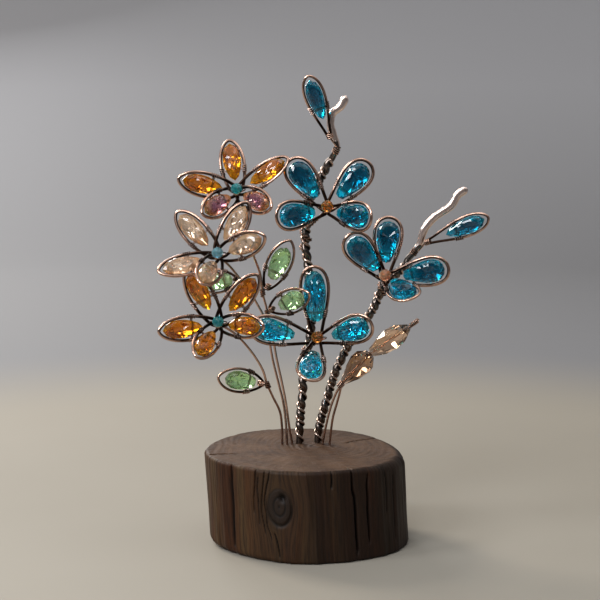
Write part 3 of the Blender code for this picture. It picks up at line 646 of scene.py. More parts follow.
@dataclass(frozen=True)
class WoodFinish:
    """Old oak beam, sawn to a round, oiled and left to dry and crack.

    It gives dark brown in broad warm and near-black zones, darker towards the right, where the
    oiling soaked in deeper and where painted shade stands for the side away from the light, fine
    fibres that flow round the dark knot, brown end grain in rings on top, and painted shade in the cracks.

    Attributes:
        name: Name of the material.
        slot: Material slot in the record; not used.
        light: Colour of the open wood between the fibres.
        red: Colour of its warm bands.
        dark: Colour of the fibres.
        end: Colour of the end grain.
        ring: Colour of the year rings.
        heart: Colour of the knot.
        crack: Colour of the painted shade in the cracks, the knot's hole and the groove round the knot, and
            of the knot's dark rings.
        band: Width of a warm band, and values of its noise between which it turns warm.
        zone: Width of a soaked zone.
        soak: Values of its noise plus the darkening towards the right, partly deeper oiling and partly
            painted shade, between which it turns dark.
        fibre: Width of a fibre.
        fibres: Values of its noise between which it turns dark.
        year: Width of a year ring.
        years: Values of its noise and the stain's between which it turns dark.
        stain: Width of a stain on the end grain.
        pore: Width of a pore in the end grain.
        cover: Share of the darker colour in the darkest zone, fibre or ring.
        gloss: Roughness of the wood and of its fibres.
        relief: Depth of the fibres and pores.
        sheen: Strength of the reflection.
    """

    name: str = "oiled reclaimed oak"
    slot: str = "wood"
    light: str = "#4c3721"
    red: str = "#48260f"
    dark: str = "#150c06"
    end: str = "#624833"
    ring: str = "#3c291d"
    heart: str = "#1f1611"
    crack: str = "#060403"
    band: Triple = (9.0, 0.35, 0.65)
    zone: float = 17.0
    soak: Pair = (0.45, 0.95)
    fibre: float = 0.9
    fibres: Pair = (0.42, 0.7)
    year: float = 2.4
    years: Pair = (0.75, 1.25)
    stain: float = 14.0
    pore: float = 0.8
    cover: float = 0.8
    gloss: Pair = (0.45, 0.75)
    relief: float = 0.25
    sheen: float = 0.22

    def side_colour(self, add: NodeAdder, marks: dict[str, Socket], fibre: Node) -> Node:
        """Lay warm bands, soaked zones with the right side's partly painted shade, fibres and the knot over
        each other.

        Args:
            add: Function that adds a node to the material.
            marks: Painted values, by name.
            fibre: Noise of the fibres.

        Returns:
            The node that gives the colour of the side.
        """
        flow = marks["side_grain"]
        width, cool, hot = self.band
        band = add("TexNoise", {"Vector": flow, "Scale": per_mm(width), "Detail": 2.0})
        zone = add("TexNoise", {"Vector": flow, "Scale": per_mm(self.zone), "Detail": 3.0})
        warmth = add("MapRange", {"Value": band, "From Min": cool, "From Max": hot})
        warm = add("Mix", {0: warmth, 6: rgba(self.light), 7: rgba(self.red)}, data_type="RGBA")
        # The right side's darkening: partly deeper oiling, partly painted shade on the side away from the
        # light
        soaked = add("Math", {0: zone, 1: marks["oil_and_shade"]}, operation="ADD")
        colour = warm
        for amount, (least, most) in ((soaked, self.soak), (fibre, self.fibres)):
            share = add(
                "MapRange", {"Value": amount, "From Min": least, "From Max": most, "To Max": self.cover}
            )
            colour = add("Mix", {0: share, 6: colour, 7: rgba(self.dark)}, data_type="RGBA")
        return add("Mix", {0: marks["knot"], 6: colour, 7: rgba(self.heart)}, data_type="RGBA")

    def top_colour(self, add: NodeAdder, marks: dict[str, Socket], place: Socket) -> Node:
        """Lay year rings over the end grain, stronger where it is stained.

        Args:
            add: Function that adds a node to the material.
            marks: Painted values, by name.
            place: Place on the object.

        Returns:
            The node that gives the colour of the top.
        """
        grain = marks["top_grain"]
        ring = add("TexNoise", {"Vector": grain, "Scale": per_mm(self.year), "Detail": 3.0, "Roughness": 0.6})
        stain = add("TexNoise", {"Vector": place, "Scale": per_mm(self.stain), "Detail": 3.0})
        year = add("Math", {0: ring, 1: stain}, operation="ADD")
        share = add(
            "MapRange",
            {"Value": year, "From Min": self.years[0], "From Max": self.years[1], "To Max": self.cover},
        )
        return add("Mix", {0: share, 6: rgba(self.end), 7: rgba(self.ring)}, data_type="RGBA")

    def material(self) -> Material:
        """Colour the side by its flowing grain and the top by its rings.

        Returns:
            The material.
        """
        material = bpy.data.materials.new(self.name)
        add = bare(material)
        marks = {
            name: add("Attribute", attribute_name=name).outputs["Vector" if "grain" in name else "Fac"]
            for name in ("side_grain", "top_grain", "top", "knot", "crack", "oil_and_shade")
        }
        top, flow = marks["top"], marks["side_grain"]
        place = add("TexCoord").outputs["Object"]
        fibre = add(
            "TexNoise", {"Vector": flow, "Scale": per_mm(self.fibre), "Detail": 4.0, "Roughness": 0.65}
        )
        pore = add("TexNoise", {"Vector": place, "Scale": per_mm(self.pore), "Detail": 3.0})
        side = self.side_colour(add, marks, fibre)
        end = self.top_colour(add, marks, place)
        wood = add("Mix", {0: top, 6: side, 7: end}, data_type="RGBA")
        # Painted shade in the cracks, the knot's hole and the groove round it, and the knot's own dark rings
        colour = add("Mix", {0: marks["crack"], 6: wood, 7: rgba(self.crack)}, data_type="RGBA")
        gloss = add("MapRange", {"Value": fibre, "To Min": self.gloss[0], "To Max": self.gloss[1]})
        relief = add("Mix", {0: top, 2: fibre, 3: pore})
        bump = add("Bump", {"Height": relief, "Strength": 0.5, "Distance": self.relief * MM}, invert=True)
        shader = add(
            "BsdfPrincipled",
            {"Base Color": colour, "Roughness": gloss, "Specular IOR Level": self.sheen, "Normal": bump},
        )
        add("OutputMaterial", {"Surface": shader})
        return material


@dataclass(frozen=True)
class PaperFinish:
    """Matt studio paper, pale under the object and sprayed darker away from it, with painted shade in front
    of the object, and the faintest mottle.

    Attributes:
        name: Name of the material.
        light: Colour of the pale floor.
        shade: Colour of the floor's mottle.
        far: Colour of the floor away from the object.
        high: Colour up the wall.
        near: Painted shade on the floor and wall in front of the object, which stands for a dark room on the
            camera's side that the metal and glass reflect.
        fade: Distances from the middle between which the floor's colour changes, in metres.
        rise: Heights between which the wall's colour changes, in metres.
        front: Distances to the front between which the painted shade comes in, in metres.
        mottle: Width of a patch of the mottle.
        dullness: Roughness.
        sheen: Strength of the reflection.
    """

    name: str = "matt studio paper"
    light: str = "#a8a194"
    shade: str = "#a0998c"
    far: str = "#8a8a8c"
    high: str = "#a4a4a7"
    near: str = "#6e6e70"
    fade: Pair = (0.36, 0.62)
    rise: Pair = (0.0, 0.2)
    front: Pair = (-0.3, -0.8)
    mottle: float = 180.0
    dullness: float = 0.7
    sheen: float = 0.2

    def material(self) -> Material:
        """Mottle two close tones, grade them by distance and height, and lay painted shade in front.

        Returns:
            The material.
        """
        material = bpy.data.materials.new(self.name)
        add = bare(material)
        place = add("TexCoord").outputs["Object"]
        mottle = add("TexNoise", {"Vector": place, "Scale": per_mm(self.mottle), "Detail": 2.0})
        low = add("Mix", {0: mottle, 6: rgba(self.light), 7: rgba(self.shade)}, data_type="RGBA")
        away = add("VectorMath", {0: place}, operation="LENGTH")
        grade = add(
            "MapRange", {"Value": away, "From Min": self.fade[0], "From Max": self.fade[1]},
            interpolation_type="SMOOTHSTEP",
        )
        floor = add("Mix", {0: grade, 6: low, 7: rgba(self.far)}, data_type="RGBA")
        parts = add("SeparateXYZ", {0: place}).outputs
        climb = add("MapRange", {"Value": parts["Z"], "From Min": self.rise[0], "From Max": self.rise[1]})
        back = add("Mix", {0: climb, 6: floor, 7: rgba(self.high)}, data_type="RGBA")
        # Painted shade in front of the object, standing for a dark room on the camera's side
        front_shade_share = add(
            "MapRange", {"Value": parts["Y"], "From Min": self.front[0], "From Max": self.front[1]}
        )
        colour = add("Mix", {0: front_shade_share, 6: back, 7: rgba(self.near)}, data_type="RGBA")
        shader = add(
            "BsdfPrincipled",
            {"Base Color": colour, "Roughness": self.dullness, "Specular IOR Level": self.sheen},
        )
        add("OutputMaterial", {"Surface": shader})
        return material


class Copper(Enum):
    """Finishes of the copper wire."""

    FRAME = CopperFinish("tarnished copper wire", "#d2ab96", "#281a13", -0.06, 0.16, 0.36)
    BINDING = CopperFinish("thin dark copper wire", "#c9ada0", "#1c130e", -0.05, 0.18, 0.36)
    CORE = CopperFinish("blackened copper wire", "#7c7068", "#221b17", -0.3, 0.22, 0.38)
    WRAP = CopperFinish("rubbed copper wire", "#d6bcab", "#2a1d17", 0.0, 0.18, 0.36)
    # The hammered curl's pale, near-white colours are partly a painted highlight of strong light on its flat
    # face
    HAMMERED = CopperFinish(
        "hammered copper", "#ffe6d8", "#c08c74", 0.2, 0.26, 0.36, dent=6.0, dent_depth=0.05
    )


class Glass(Enum):
    """Colours of the glass."""

    AMBER = GlassFinish("amber glass", "amber_glass", "#ffb014", "#e28422", 0.06)
    AMETHYST = GlassFinish("amber glass with a violet cast", "amber_glass", "#ffb060", "#b0748a", 0.06)
    CHAMPAGNE = GlassFinish("champagne glass", "champagne_glass", "#ffc494", "#ffe0c4", 0.11)
    HONEY = GlassFinish("honey champagne glass", "champagne_glass", "#fff6ec", "#f4cca8", 0.02)
    SMOKE = GlassFinish("smoky champagne glass", "champagne_glass", "#f4e0ca", "#b48c6c", 0.01)
    TEAL = GlassFinish("teal blue glass", "teal_blue_glass", "#14d8ff", "#005674", 0.04)
    TURQUOISE = GlassFinish("turquoise glass", "teal_blue_glass", "#68f6ff", "#50e4f0", 0.14)
    CYAN = GlassFinish("cyan blue glass", "cyan_blue_glass", "#44e8ff", "#06a6d4", 0.035)
    PERIDOT = GlassFinish("peridot glass", "peridot_glass", "#d8ffc0", "#c0f0ac", 0.05)
    AQUA = GlassFinish("aqua glass", "aqua_glass", "#d4f4ff", "#a4e4ff", 0.22)
    BROWN = GlassFinish("brown amber glass", "brown_amber_glass", "#ffc468", "#ffa848", 0.1)
    PEACH = GlassFinish("peach glass", "peach_glass", "#ffdcc4", "#ffb48a", 0.26)


Finish = CopperFinish | GlassFinish | WoodFinish | PaperFinish


class Bench:
    """Turns surfaces into dressed pieces that ride the frame's bodies."""

    def __init__(self, lift: float) -> None:
        """Start with no materials.

        Args:
            lift: Height of the wood's top above the frame's origin.
        """
        self.lift = lift
        self.materials: dict[str, Material] = {}

    def mesh(self, name: str, surface: Surface, smooth: bool) -> bpy.types.Object:
        """Put a surface into a mesh object at the origin, in metres.

        Args:
            name: Name of the object.
            surface: Shape, in millimetres from the wood's top.
            smooth: Shade the faces smooth.

        Returns:
            The object, linked to the scene.
        """
        mesh = bpy.data.meshes.new(name)
        points = (surface.points + UP * self.lift) * MM
        mesh.from_pydata(points, [], [*surface.quads.tolist(), *surface.triangles.tolist()])
        for mark, value in surface.marks.items():
            kind, slot = ("FLOAT", "value") if value.ndim == 1 else ("FLOAT_VECTOR", "vector")
            painted = mesh.attributes.new(mark, kind, "POINT")
            painted.data.foreach_set(slot, np.ravel(value).astype(np.float32))
        mesh.polygons.foreach_set("use_smooth", np.full(len(mesh.polygons), smooth))
        mesh.update()
        piece = bpy.data.objects.new(name, mesh)
        bpy.context.scene.collection.objects.link(piece)
        return piece

    def dress(self, piece: bpy.types.Object, finish: Finish) -> None:
        """Give a piece its material, made on first use.

        Args:
            piece: The piece.
            finish: Its finish.
        """
        if finish.name not in self.materials:
            self.materials[finish.name] = finish.material()
        piece.data.materials.append(self.materials[finish.name])

    def add(
        self,
        name: str,
        surface: Surface,
        finish: Finish,
        nodes: Sequence[str],
        body: str = BOUQUET,
        smooth: bool = True,
    ) -> None:
        """Make a piece of the object.

        Args:
            name: Name of the piece.
            surface: Its shape.
            finish: Its finish.
            nodes: CAD nodes that it stands for.
            body: Body that it rides.
            smooth: Shade the faces smooth.
        """
        piece = self.mesh(name, surface, smooth)
        self.dress(piece, finish)
        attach(piece, body)
        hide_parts(*nodes)
        faces = 2 * len(surface.quads) + len(surface.triangles)
        LOG.info("%s: %d triangles of %s on %s", name, faces, finish.name, body)


@dataclass(frozen=True)
class Outline:
    """Half width of a petal: t^rise (1 - t)^fall, scaled to 1, with t from 0 at the root to 1 at the tip."""

    rise: float
    fall: float

    def at(self, t: Array) -> Array:
        """Half width at shares of the length."""
        peak = self.widest
        return (t / peak) ** self.rise * ((1 - t) / (1 - peak)) ** self.fall

    @property
    def widest(self) -> float:
        """Share of the length at which the petal is widest."""
        return self.rise / (self.rise + self.fall)


@dataclass(frozen=True)
class LoopShape:
    """Wire loop: outer width and outline."""

    width: float
    outline: Outline


@dataclass(frozen=True)
class CutRow:
    """Row of corners on a stone.

    Attributes:
        scale: Share of the girdle's size.
        height: Share of the half thickness, to the front.
        turned: Whether the row is turned half a facet.
    """

    scale: float
    height: float
    turned: bool = False


class Cut(Enum):
    """Ways to cut a drop, as rows of corners from the back to the front."""

    TABLE = (
        CutRow(0.30, -1.0), CutRow(0.66, -0.72, True), CutRow(1.0, -0.10), CutRow(1.0, 0.10),
        CutRow(0.91, 0.50, True), CutRow(0.77, 0.88), CutRow(0.55, 1.0, True),
    )
    CHECKER = (
        CutRow(0.20, -1.0), CutRow(0.46, -0.86, True), CutRow(0.74, -0.56), CutRow(1.0, -0.06, True),
        CutRow(1.0, 0.06, True), CutRow(0.92, 0.34), CutRow(0.80, 0.56, True), CutRow(0.64, 0.75),
        CutRow(0.46, 0.89, True), CutRow(0.28, 0.97), CutRow(0.12, 1.0, True),
    )
    MARQUISE = (
        CutRow(0.34, -1.0), CutRow(1.0, -0.12), CutRow(1.0, 0.12), CutRow(0.86, 0.58, True),
        CutRow(0.68, 0.88), CutRow(0.42, 1.0, True),
    )


@dataclass(frozen=True)
class DropShape:
    """Faceted glass drop, drilled across near its small end.

    Attributes:
        length: Length from end to end.
        width: Greatest width.
        thickness: Greatest thickness.
        hole: Distance of the hole from the small end.
        tip_room: Room between the broad end and the outside of the loop.
        outline: Outline of the girdle.
        facets: Facets round the girdle.
        cut: Rows of its corners.
        blunt: Share of the outline that the flat small end cuts off.
        uneven: Share of the half thickness by which hand cutting throws a corner off.
    """

    length: float
    width: float
    thickness: float
    hole: float
    tip_room: float
    outline: Outline
    facets: int
    cut: Cut
    blunt: float = 0.0
    uneven: float = 0.0

    def rim(self, share: Array) -> Array:
        """Girdle at shares of the way round it, counted from the small end.

        The girdle is y = length s and x = half width at t, with s = (1 - cos(angle)) / 2 and
        t = blunt + (1 - blunt) s, so the small end is flat. The shares are of its measured length.

        Args:
            share: Shares of the way round, from 0 to 1.

        Returns:
            Rows of x and y, from the hole.
        """
        angle = np.linspace(0, TURN, GIRDLE_POINTS)
        s = np.clip((1 - np.cos(angle)) / 2, 0, 1)
        side = np.sign(np.round(np.sin(angle), 9))
        x = side * self.width / 2 * self.outline.at(self.blunt + (1 - self.blunt) * s)
        line = np.stack([x, self.length * s - self.hole, np.zeros_like(s)], axis=-1)
        run = travelled(line)
        return np.stack([np.interp(share * run[-1], run, line[:, axis]) for axis in range(2)], axis=-1)

    def stone(self) -> Surface:
        """Cut the drop, hole at the origin: x along the hole, y to the broad end, z to the front.

        Each row of corners is the girdle drawn in towards the widest point by a share,
        at a share of the half thickness. The painted depth is 1 less the square of the
        row's share, and fades out towards the small end, which makes the small end light:
        partly the thin glass's own colour, partly a painted glow of light caught in the tip.
        A hand-cut corner is thrown off by a random share of the half thickness.

        Returns:
            The stone.
        """
        rows = self.cut.value
        step = np.arange(self.facets) / self.facets
        widest = (self.outline.widest - self.blunt) / (1 - self.blunt)
        middle = np.array([0, self.length * widest - self.hole])
        slip = np.random.default_rng(self.facets)
        rings = []
        depth = []
        for row in rows:
            share = (step + (0.5 / self.facets if row.turned else 0)) % 1
            flat = middle + row.scale * (self.rim(share) - middle)
            thrown = slip.uniform(-self.uneven, self.uneven, self.facets) * (1 - row.scale)
            rings.append(np.column_stack([flat, (row.height + thrown) * self.thickness / 2]))
            # Depth fades towards the small end: partly thin glass, partly a painted glow in the tip
            depth.append((1 - row.scale**2) * eased(-self.hole, self.length / 2 - self.hole, flat[:, 1]))
        return facet_loft(np.array(rings), [row.turned for row in rows], np.array(depth))


@dataclass(frozen=True)
class Petal:
    """One loop: bearing clockwise from up as the viewer sees it, lean to the front and roll, in degrees.

    A petal may hold a drop of its own in place of its flower's.
    """

    bearing: float
    lean: float
    length: float
    roll: float = 0.0
    own_drop: DropShape | None = None

    def axes(self) -> tuple[Array, Array, Array]:
        """Along, across and facing directions: facing is turned by the roll about along."""
        bearing, lean, roll = np.radians([self.bearing, self.lean, self.roll])
        outward = np.array([math.sin(bearing), 0, math.cos(bearing)])
        along = outward * math.cos(lean) - BACK * math.sin(lean)
        flat = -BACK * math.cos(lean) - outward * math.sin(lean)
        facing = flat * math.cos(roll) + np.cross(along, flat) * math.sin(roll)
        return along, np.cross(along, facing), facing


PEAR_OUTLINE = Outline(1.5, 0.5)
SLIM_OUTLINE = Outline(0.85, 0.55)
PEAR_LOOP = LoopShape(15.0, Outline(1.3, 0.5))
SLIM_LOOP = LoopShape(12.6, Outline(0.85, 0.62))
LEAF_LOOP = LoopShape(12.4, Outline(0.85, 0.66))
STALK_LOOP = LoopShape(10.4, Outline(1.5, 0.6))
PEAR_DROP = DropShape(21.0, 11.6, 8.0, 4.8, 2.6, PEAR_OUTLINE, 20, Cut.TABLE, 0.25, 0.1)
CHECKER_DROP = DropShape(21.0, 11.6, 8.0, 4.8, 2.6, PEAR_OUTLINE, 20, Cut.CHECKER, 0.25, 0.16)
LONG_DROP = DropShape(25.5, 11.2, 8.0, 4.8, 2.6, Outline(1.2, 0.5), 22, Cut.CHECKER, 0.27, 0.16)
SLIM_DROP = DropShape(20.7, 9.2, 6.0, 5.8, 2.6, SLIM_OUTLINE, 14, Cut.MARQUISE, 0.06, 0.24)
LEAF_DROP = DropShape(18.0, 9.6, 6.0, 4.6, 4.6, Outline(1.1, 0.55), 14, Cut.TABLE, 0.2, 0.16)
TIP_DROP = DropShape(20.7, 8.0, 6.0, 5.8, 2.6, Outline(1.1, 0.55), 14, Cut.TABLE, 0.15, 0.1)


@dataclass
class WireForm:
    """Petals of one wire round a knot, each holding a drop.

    Attributes:
        name: Name that its nodes and pieces start with.
        petals: Loops round the knot.
        loop: Shape of the loops.
        drop: Shape of the drops.
        glass: Glass of the drops.
        knot: Place of the knot.
        leg_gap: Gap between the two legs of a loop at the knot.
        leg_ease: How fast the legs close on the loop's outline.
        leg_bend: Length of the round bend at the foot of the legs.
        binding_turns: Turns of the binding wire on each leg.
        binding_climb: Climb of one of those turns, in wire widths.
        binding_share: Share of each coil on the knot's side of the drop's hole.
        strings_apart: Distance of each string from the middle of the hole, in wire widths.
        gauge: Half thickness and half width of the pressed wire.
        knot_rub: Share of the rubbing mark that the loops keep at the knot, so they are darker there.
        rub_span: Shares of a loop's length between which that share grows to the whole mark.
    """

    name: str
    petals: tuple[Petal, ...]
    loop: LoopShape
    drop: DropShape
    glass: Glass
    knot: Point = (0.0, 0.0, 0.0)
    leg_gap: float = 0.4
    leg_ease: float = 1.0
    leg_bend: float = 0.4
    binding_turns: float = 3.5
    binding_climb: float = 1.7
    binding_share: float = 0.64
    strings_apart: float = 0.55
    gauge: Pair = (FRAME_FACE, FRAME_EDGE)
    knot_rub: float = 0.25
    rub_span: Pair = (0.1, 0.75)

    @property
    def centre(self) -> Array:
        """Place of the knot as an array."""
        return np.array(self.knot, float)

    def half_width(self, petal: Petal, distance: Array) -> Array:
        """Half width of a loop's centre line at distances from its knot.

        It is the outline's half width and half the gap of the legs, which starts on a
        quarter circle and fades along (1 - t)^ease.

        Args:
            petal: The loop.
            distance: Distances from the knot.

        Returns:
            The half widths.
        """
        t = distance / (petal.length - FRAME_WIRE / 2)
        bend = np.sqrt(1 - (1 - np.clip(distance / self.leg_bend, 0, 1)) ** 2)
        legs = (FRAME_WIRE + self.leg_gap) / 2 * bend * (1 - t) ** self.leg_ease
        return legs + (self.loop.width - FRAME_WIRE) / 2 * self.loop.outline.at(t)

    def held(self, petal: Petal) -> DropShape:
        """Drop that a petal holds."""
        return petal.own_drop or self.drop

    def hole_distance(self, petal: Petal) -> float:
        """Distance from the knot to the hole of a drop."""
        drop = self.held(petal)
        return petal.length - drop.tip_room - drop.length + drop.hole

    def loop_line(self, petal: Petal) -> Array:
        """Centre line of a loop, out along one leg and back along the other.

        At an angle from 0 to half a turn the line is sin(angle)^2 of the length out,
        and the half width there to the side.

        Args:
            petal: The loop.

        Returns:
            Points along the wire.
        """
        along, across, _ = petal.axes()
        angle = np.linspace(0, math.pi, LOOP_POINTS)
        distance = (petal.length - FRAME_WIRE / 2) * np.clip(np.sin(angle) ** 2, 0, 1)
        half = np.sign(np.cos(angle)) * self.half_width(petal, distance)
        return self.centre + distance[:, None] * along + half[:, None] * across

    def binding(self, petal: Petal) -> list[Surface]:
        """Thin wire coiled on both legs of a loop and strung through the drop's hole.

        Most of each coil lies on the knot's side of the hole.

        Args:
            petal: The loop.

        Returns:
            The string and the two coils.
        """
        along, across, facing = petal.axes()
        hole = self.hole_distance(petal)
        half = float(self.half_width(petal, np.array(hole)))
        centre = self.centre + along * hole
        reach = np.linspace(-half, half, 9)[:, None] * across
        parts = [
            tube(centre + reach + shift * BINDING_WIRE * along, BINDING_WIRE / 2, facing, FINE_SIDES)
            for shift in (-self.strings_apart, self.strings_apart)
        ]
        rail = Rail(self.loop_line(petal), facing)
        share = np.linspace(0, 1, round(self.binding_turns * TURN_POINTS)) - self.binding_share
        turns = share * self.binding_turns
        radius = (FRAME_WIRE + BINDING_WIRE) / 2
        for side in (1, -1):
            crossing = np.linalg.norm(rail.path - (centre + side * half * across), axis=1).argmin()
            distance = rail.run[crossing] + side * turns * BINDING_WIRE * self.binding_climb
            line, outward = rail.wound(distance, TURN * turns, radius)
            parts.append(tube(line, BINDING_WIRE / 2, outward, FINE_SIDES))
        return parts

    def loops(self) -> list[Surface]:
        """Wires of all loops, darker at the knot and brighter towards the tip.

        Returns:
            One wire for each loop.
        """
        wires = []
        for petal in self.petals:
            line = self.loop_line(petal)
            share = np.linalg.norm(line - self.centre, axis=1) / petal.length
            rub = self.knot_rub + (1 - self.knot_rub) * eased(*self.rub_span, share)
            wires.append(tube(line, np.array(self.gauge), petal.axes()[2], rub=rub))
        return wires

    def bindings(self) -> Surface:
        """Binding wires of all loops."""
        return joined([part for petal in self.petals for part in self.binding(petal)])

    def hung(self, petal: Petal) -> Surface:
        """Hang a drop in its place on the binding wire of a petal.

        Args:
            petal: The loop.

        Returns:
            The stone in its place.
        """
        along, across, facing = petal.axes()
        stone = self.held(petal).stone()
        turned = stone.points @ np.stack([across, along, facing])
        place = self.centre + along * self.hole_distance(petal)
        return Surface(turned + place, stone.quads, stone.triangles, stone.marks)


@dataclass
class Trunk:
    """Thick blackened wire with a thinner wire wound up it, and its end hammered flat and curled.

    The winding pushes the soft core aside, so the core waves from side to side as it climbs.

    Attributes:
        name: Name of the node.
        foot: Place of the foot on the wood.
        route: Places up the trunk.
        curl: Places along the hammered end.
        pitch: Climb of the winding in one turn.
        core: Diameter of the core.
        wrap: Diameter of the winding wire.
        sway: Distance that the core is pushed aside.
        wind_radius: Radius of the winding's centre line.
        wander: Share of a turn by which the winding's climb wanders.
        beat: Waves of that wandering in one turn.
        start: Height at which the winding starts.
        tip_room: Length left free below the curl.
        flat: Half width and half thickness of the hammered end.
        neck: Half width and half thickness where the hammering starts.
        lap: Length of the hammered end below the curl.
        spread: Length of the curl over which it flattens.
        blows: Share of the width by which blows vary it, and radians of their waves in a millimetre.
        bulb: Share by which the end swells, its distance from the end and its length.
        round_off: Length over which the end rounds off, and share of it after which it stays blunt.
    """

    name: str
    foot: Foot
    route: tuple[Point, ...]
    curl: tuple[Point, ...]
    pitch: float
    core: float = 3.3
    wrap: float = 1.4
    sway: float = 0.75
    wind_radius: float = 1.65
    wander: float = 0.14
    beat: float = 0.31
    start: float = 2.0
    tip_room: float = 6.0
    flat: Pair = (1.9, 0.9)
    neck: Pair = (1.5, 1.3)
    lap: float = 1.0
    spread: float = 9.0
    blows: Triple = (0.015, 2.1, 1.27)
    bulb: Triple = (0.12, 2.6, 2.2)
    round_off: Pair = (1.9, 0.97)

    def __post_init__(self) -> None:
        """Lay the rail and work out the winding's climb."""
        controls = rooted(self.foot, self.route)
        self.rail = Rail(through([*controls, *self.curl]), RIGHT)
        self.curl_start = float(self.rail.run[(len(controls) - 1) * CURVE_STEPS])
        first = self.rail.at_height(0) + self.start
        total = (self.curl_start - self.tip_room - first) / self.pitch - self.wander
        self.turns = np.linspace(0, total, round(total * TURN_POINTS))
        wandered = self.turns + self.wander * np.sin(TURN * self.turns * self.beat)
        self.climb = first + self.pitch * wandered

    def angle_at(self, distance: Array) -> Array:
        """Angle of the winding at distances along the trunk: it turns to the left as it climbs."""
        return np.interp(distance, self.climb, -TURN * self.turns)

    def core_surface(self) -> Surface:
        """Core, a tube whose centre sways away from the winding and that slims into the curl.

        Returns:
            The core.
        """
        distance = np.arange(0, self.curl_start + self.tip_room / 2, WIRE_SPACING)
        ends = eased(self.climb[0], self.climb[0] + self.pitch, distance)
        ends = ends * (1 - eased(self.climb[-1], self.climb[-1] + self.tip_room, distance))
        line, _ = self.rail.wound(distance, self.angle_at(distance) + math.pi, self.sway * ends)
        slim = eased(self.climb[-1], self.curl_start + self.tip_room / 2, distance)
        radius = self.core / 2 - (self.core / 2 - self.flat[1] * 1.5) * slim
        return tube(line, radius[:, None], -RIGHT)

    def wrap_surface(self) -> Surface:
        """Winding, a helix that ends in a few close turns below the curl."""
        line, outward = self.rail.wound(self.climb, -TURN * self.turns, self.wind_radius)
        return tube(line, self.wrap / 2, outward)

    def curl_surface(self) -> Surface:
        """Hammered end, an oval that widens and flattens along the curl to a rounded bulb.

        The blows leave its width uneven.

        Returns:
            The hammered end.
        """
        end = self.rail.run[-1]
        distance = np.arange(self.curl_start - self.lap, end, WIRE_SPACING / 3)
        share = eased(self.curl_start - self.lap, self.curl_start + self.spread, distance)
        vary, quick, slow = self.blows
        blow = 1 + vary * np.sin(distance * quick) + vary * np.sin(distance * slow + 1)
        swell, back, length = self.bulb
        bulb = 1 + swell * np.exp(-(((end - back - distance) / length) ** 2))
        wide = (self.neck[0] + (self.flat[0] - self.neck[0]) * share) * blow * bulb
        thin = self.neck[1] + (self.flat[1] - self.neck[1]) * share
        closing = np.clip((distance - end + self.round_off[0]) / self.round_off[0], 0, self.round_off[1])
        tip = np.sqrt(np.clip(1 - closing**2, 0, 1))
        centre, _, first, _ = self.rail.at(distance)
        return tube(centre, np.column_stack([wide * tip, thin * tip]), -first, CURL_SIDES)

    def build(self, bench: Bench) -> None:
        """Make the core, the winding and the hammered end.

        Args:
            bench: Bench that makes the pieces.
        """
        bench.add(f"{self.name}_core", self.core_surface(), Copper.CORE.value, [self.name])
        bench.add(f"{self.name}_winding", self.wrap_surface(), Copper.WRAP.value, [f"{self.name}_wrap"])
        bench.add(f"{self.name}_curl", self.curl_surface(), Copper.HAMMERED.value, [self.name])


def twisted_pair(line: Array, side: Array, wire: float, pitch: float) -> list[Surface]:
    """Two wires twisted round each other along a line.

    Args:
        line: Centre line.
        side: Rough side direction.
        wire: Diameter of each wire.
        pitch: Length of one twist.

    Returns:
        The two wires.
    """
    rail = Rail(evened(line, TWIST_SPACING), side)
    parts = []
    for phase in (0, math.pi):
        strand, outward = rail.wound(rail.run, phase - TURN * rail.run / pitch, wire / 2)
        parts.append(tube(strand, wire / 2, outward, FINE_SIDES))
    return parts


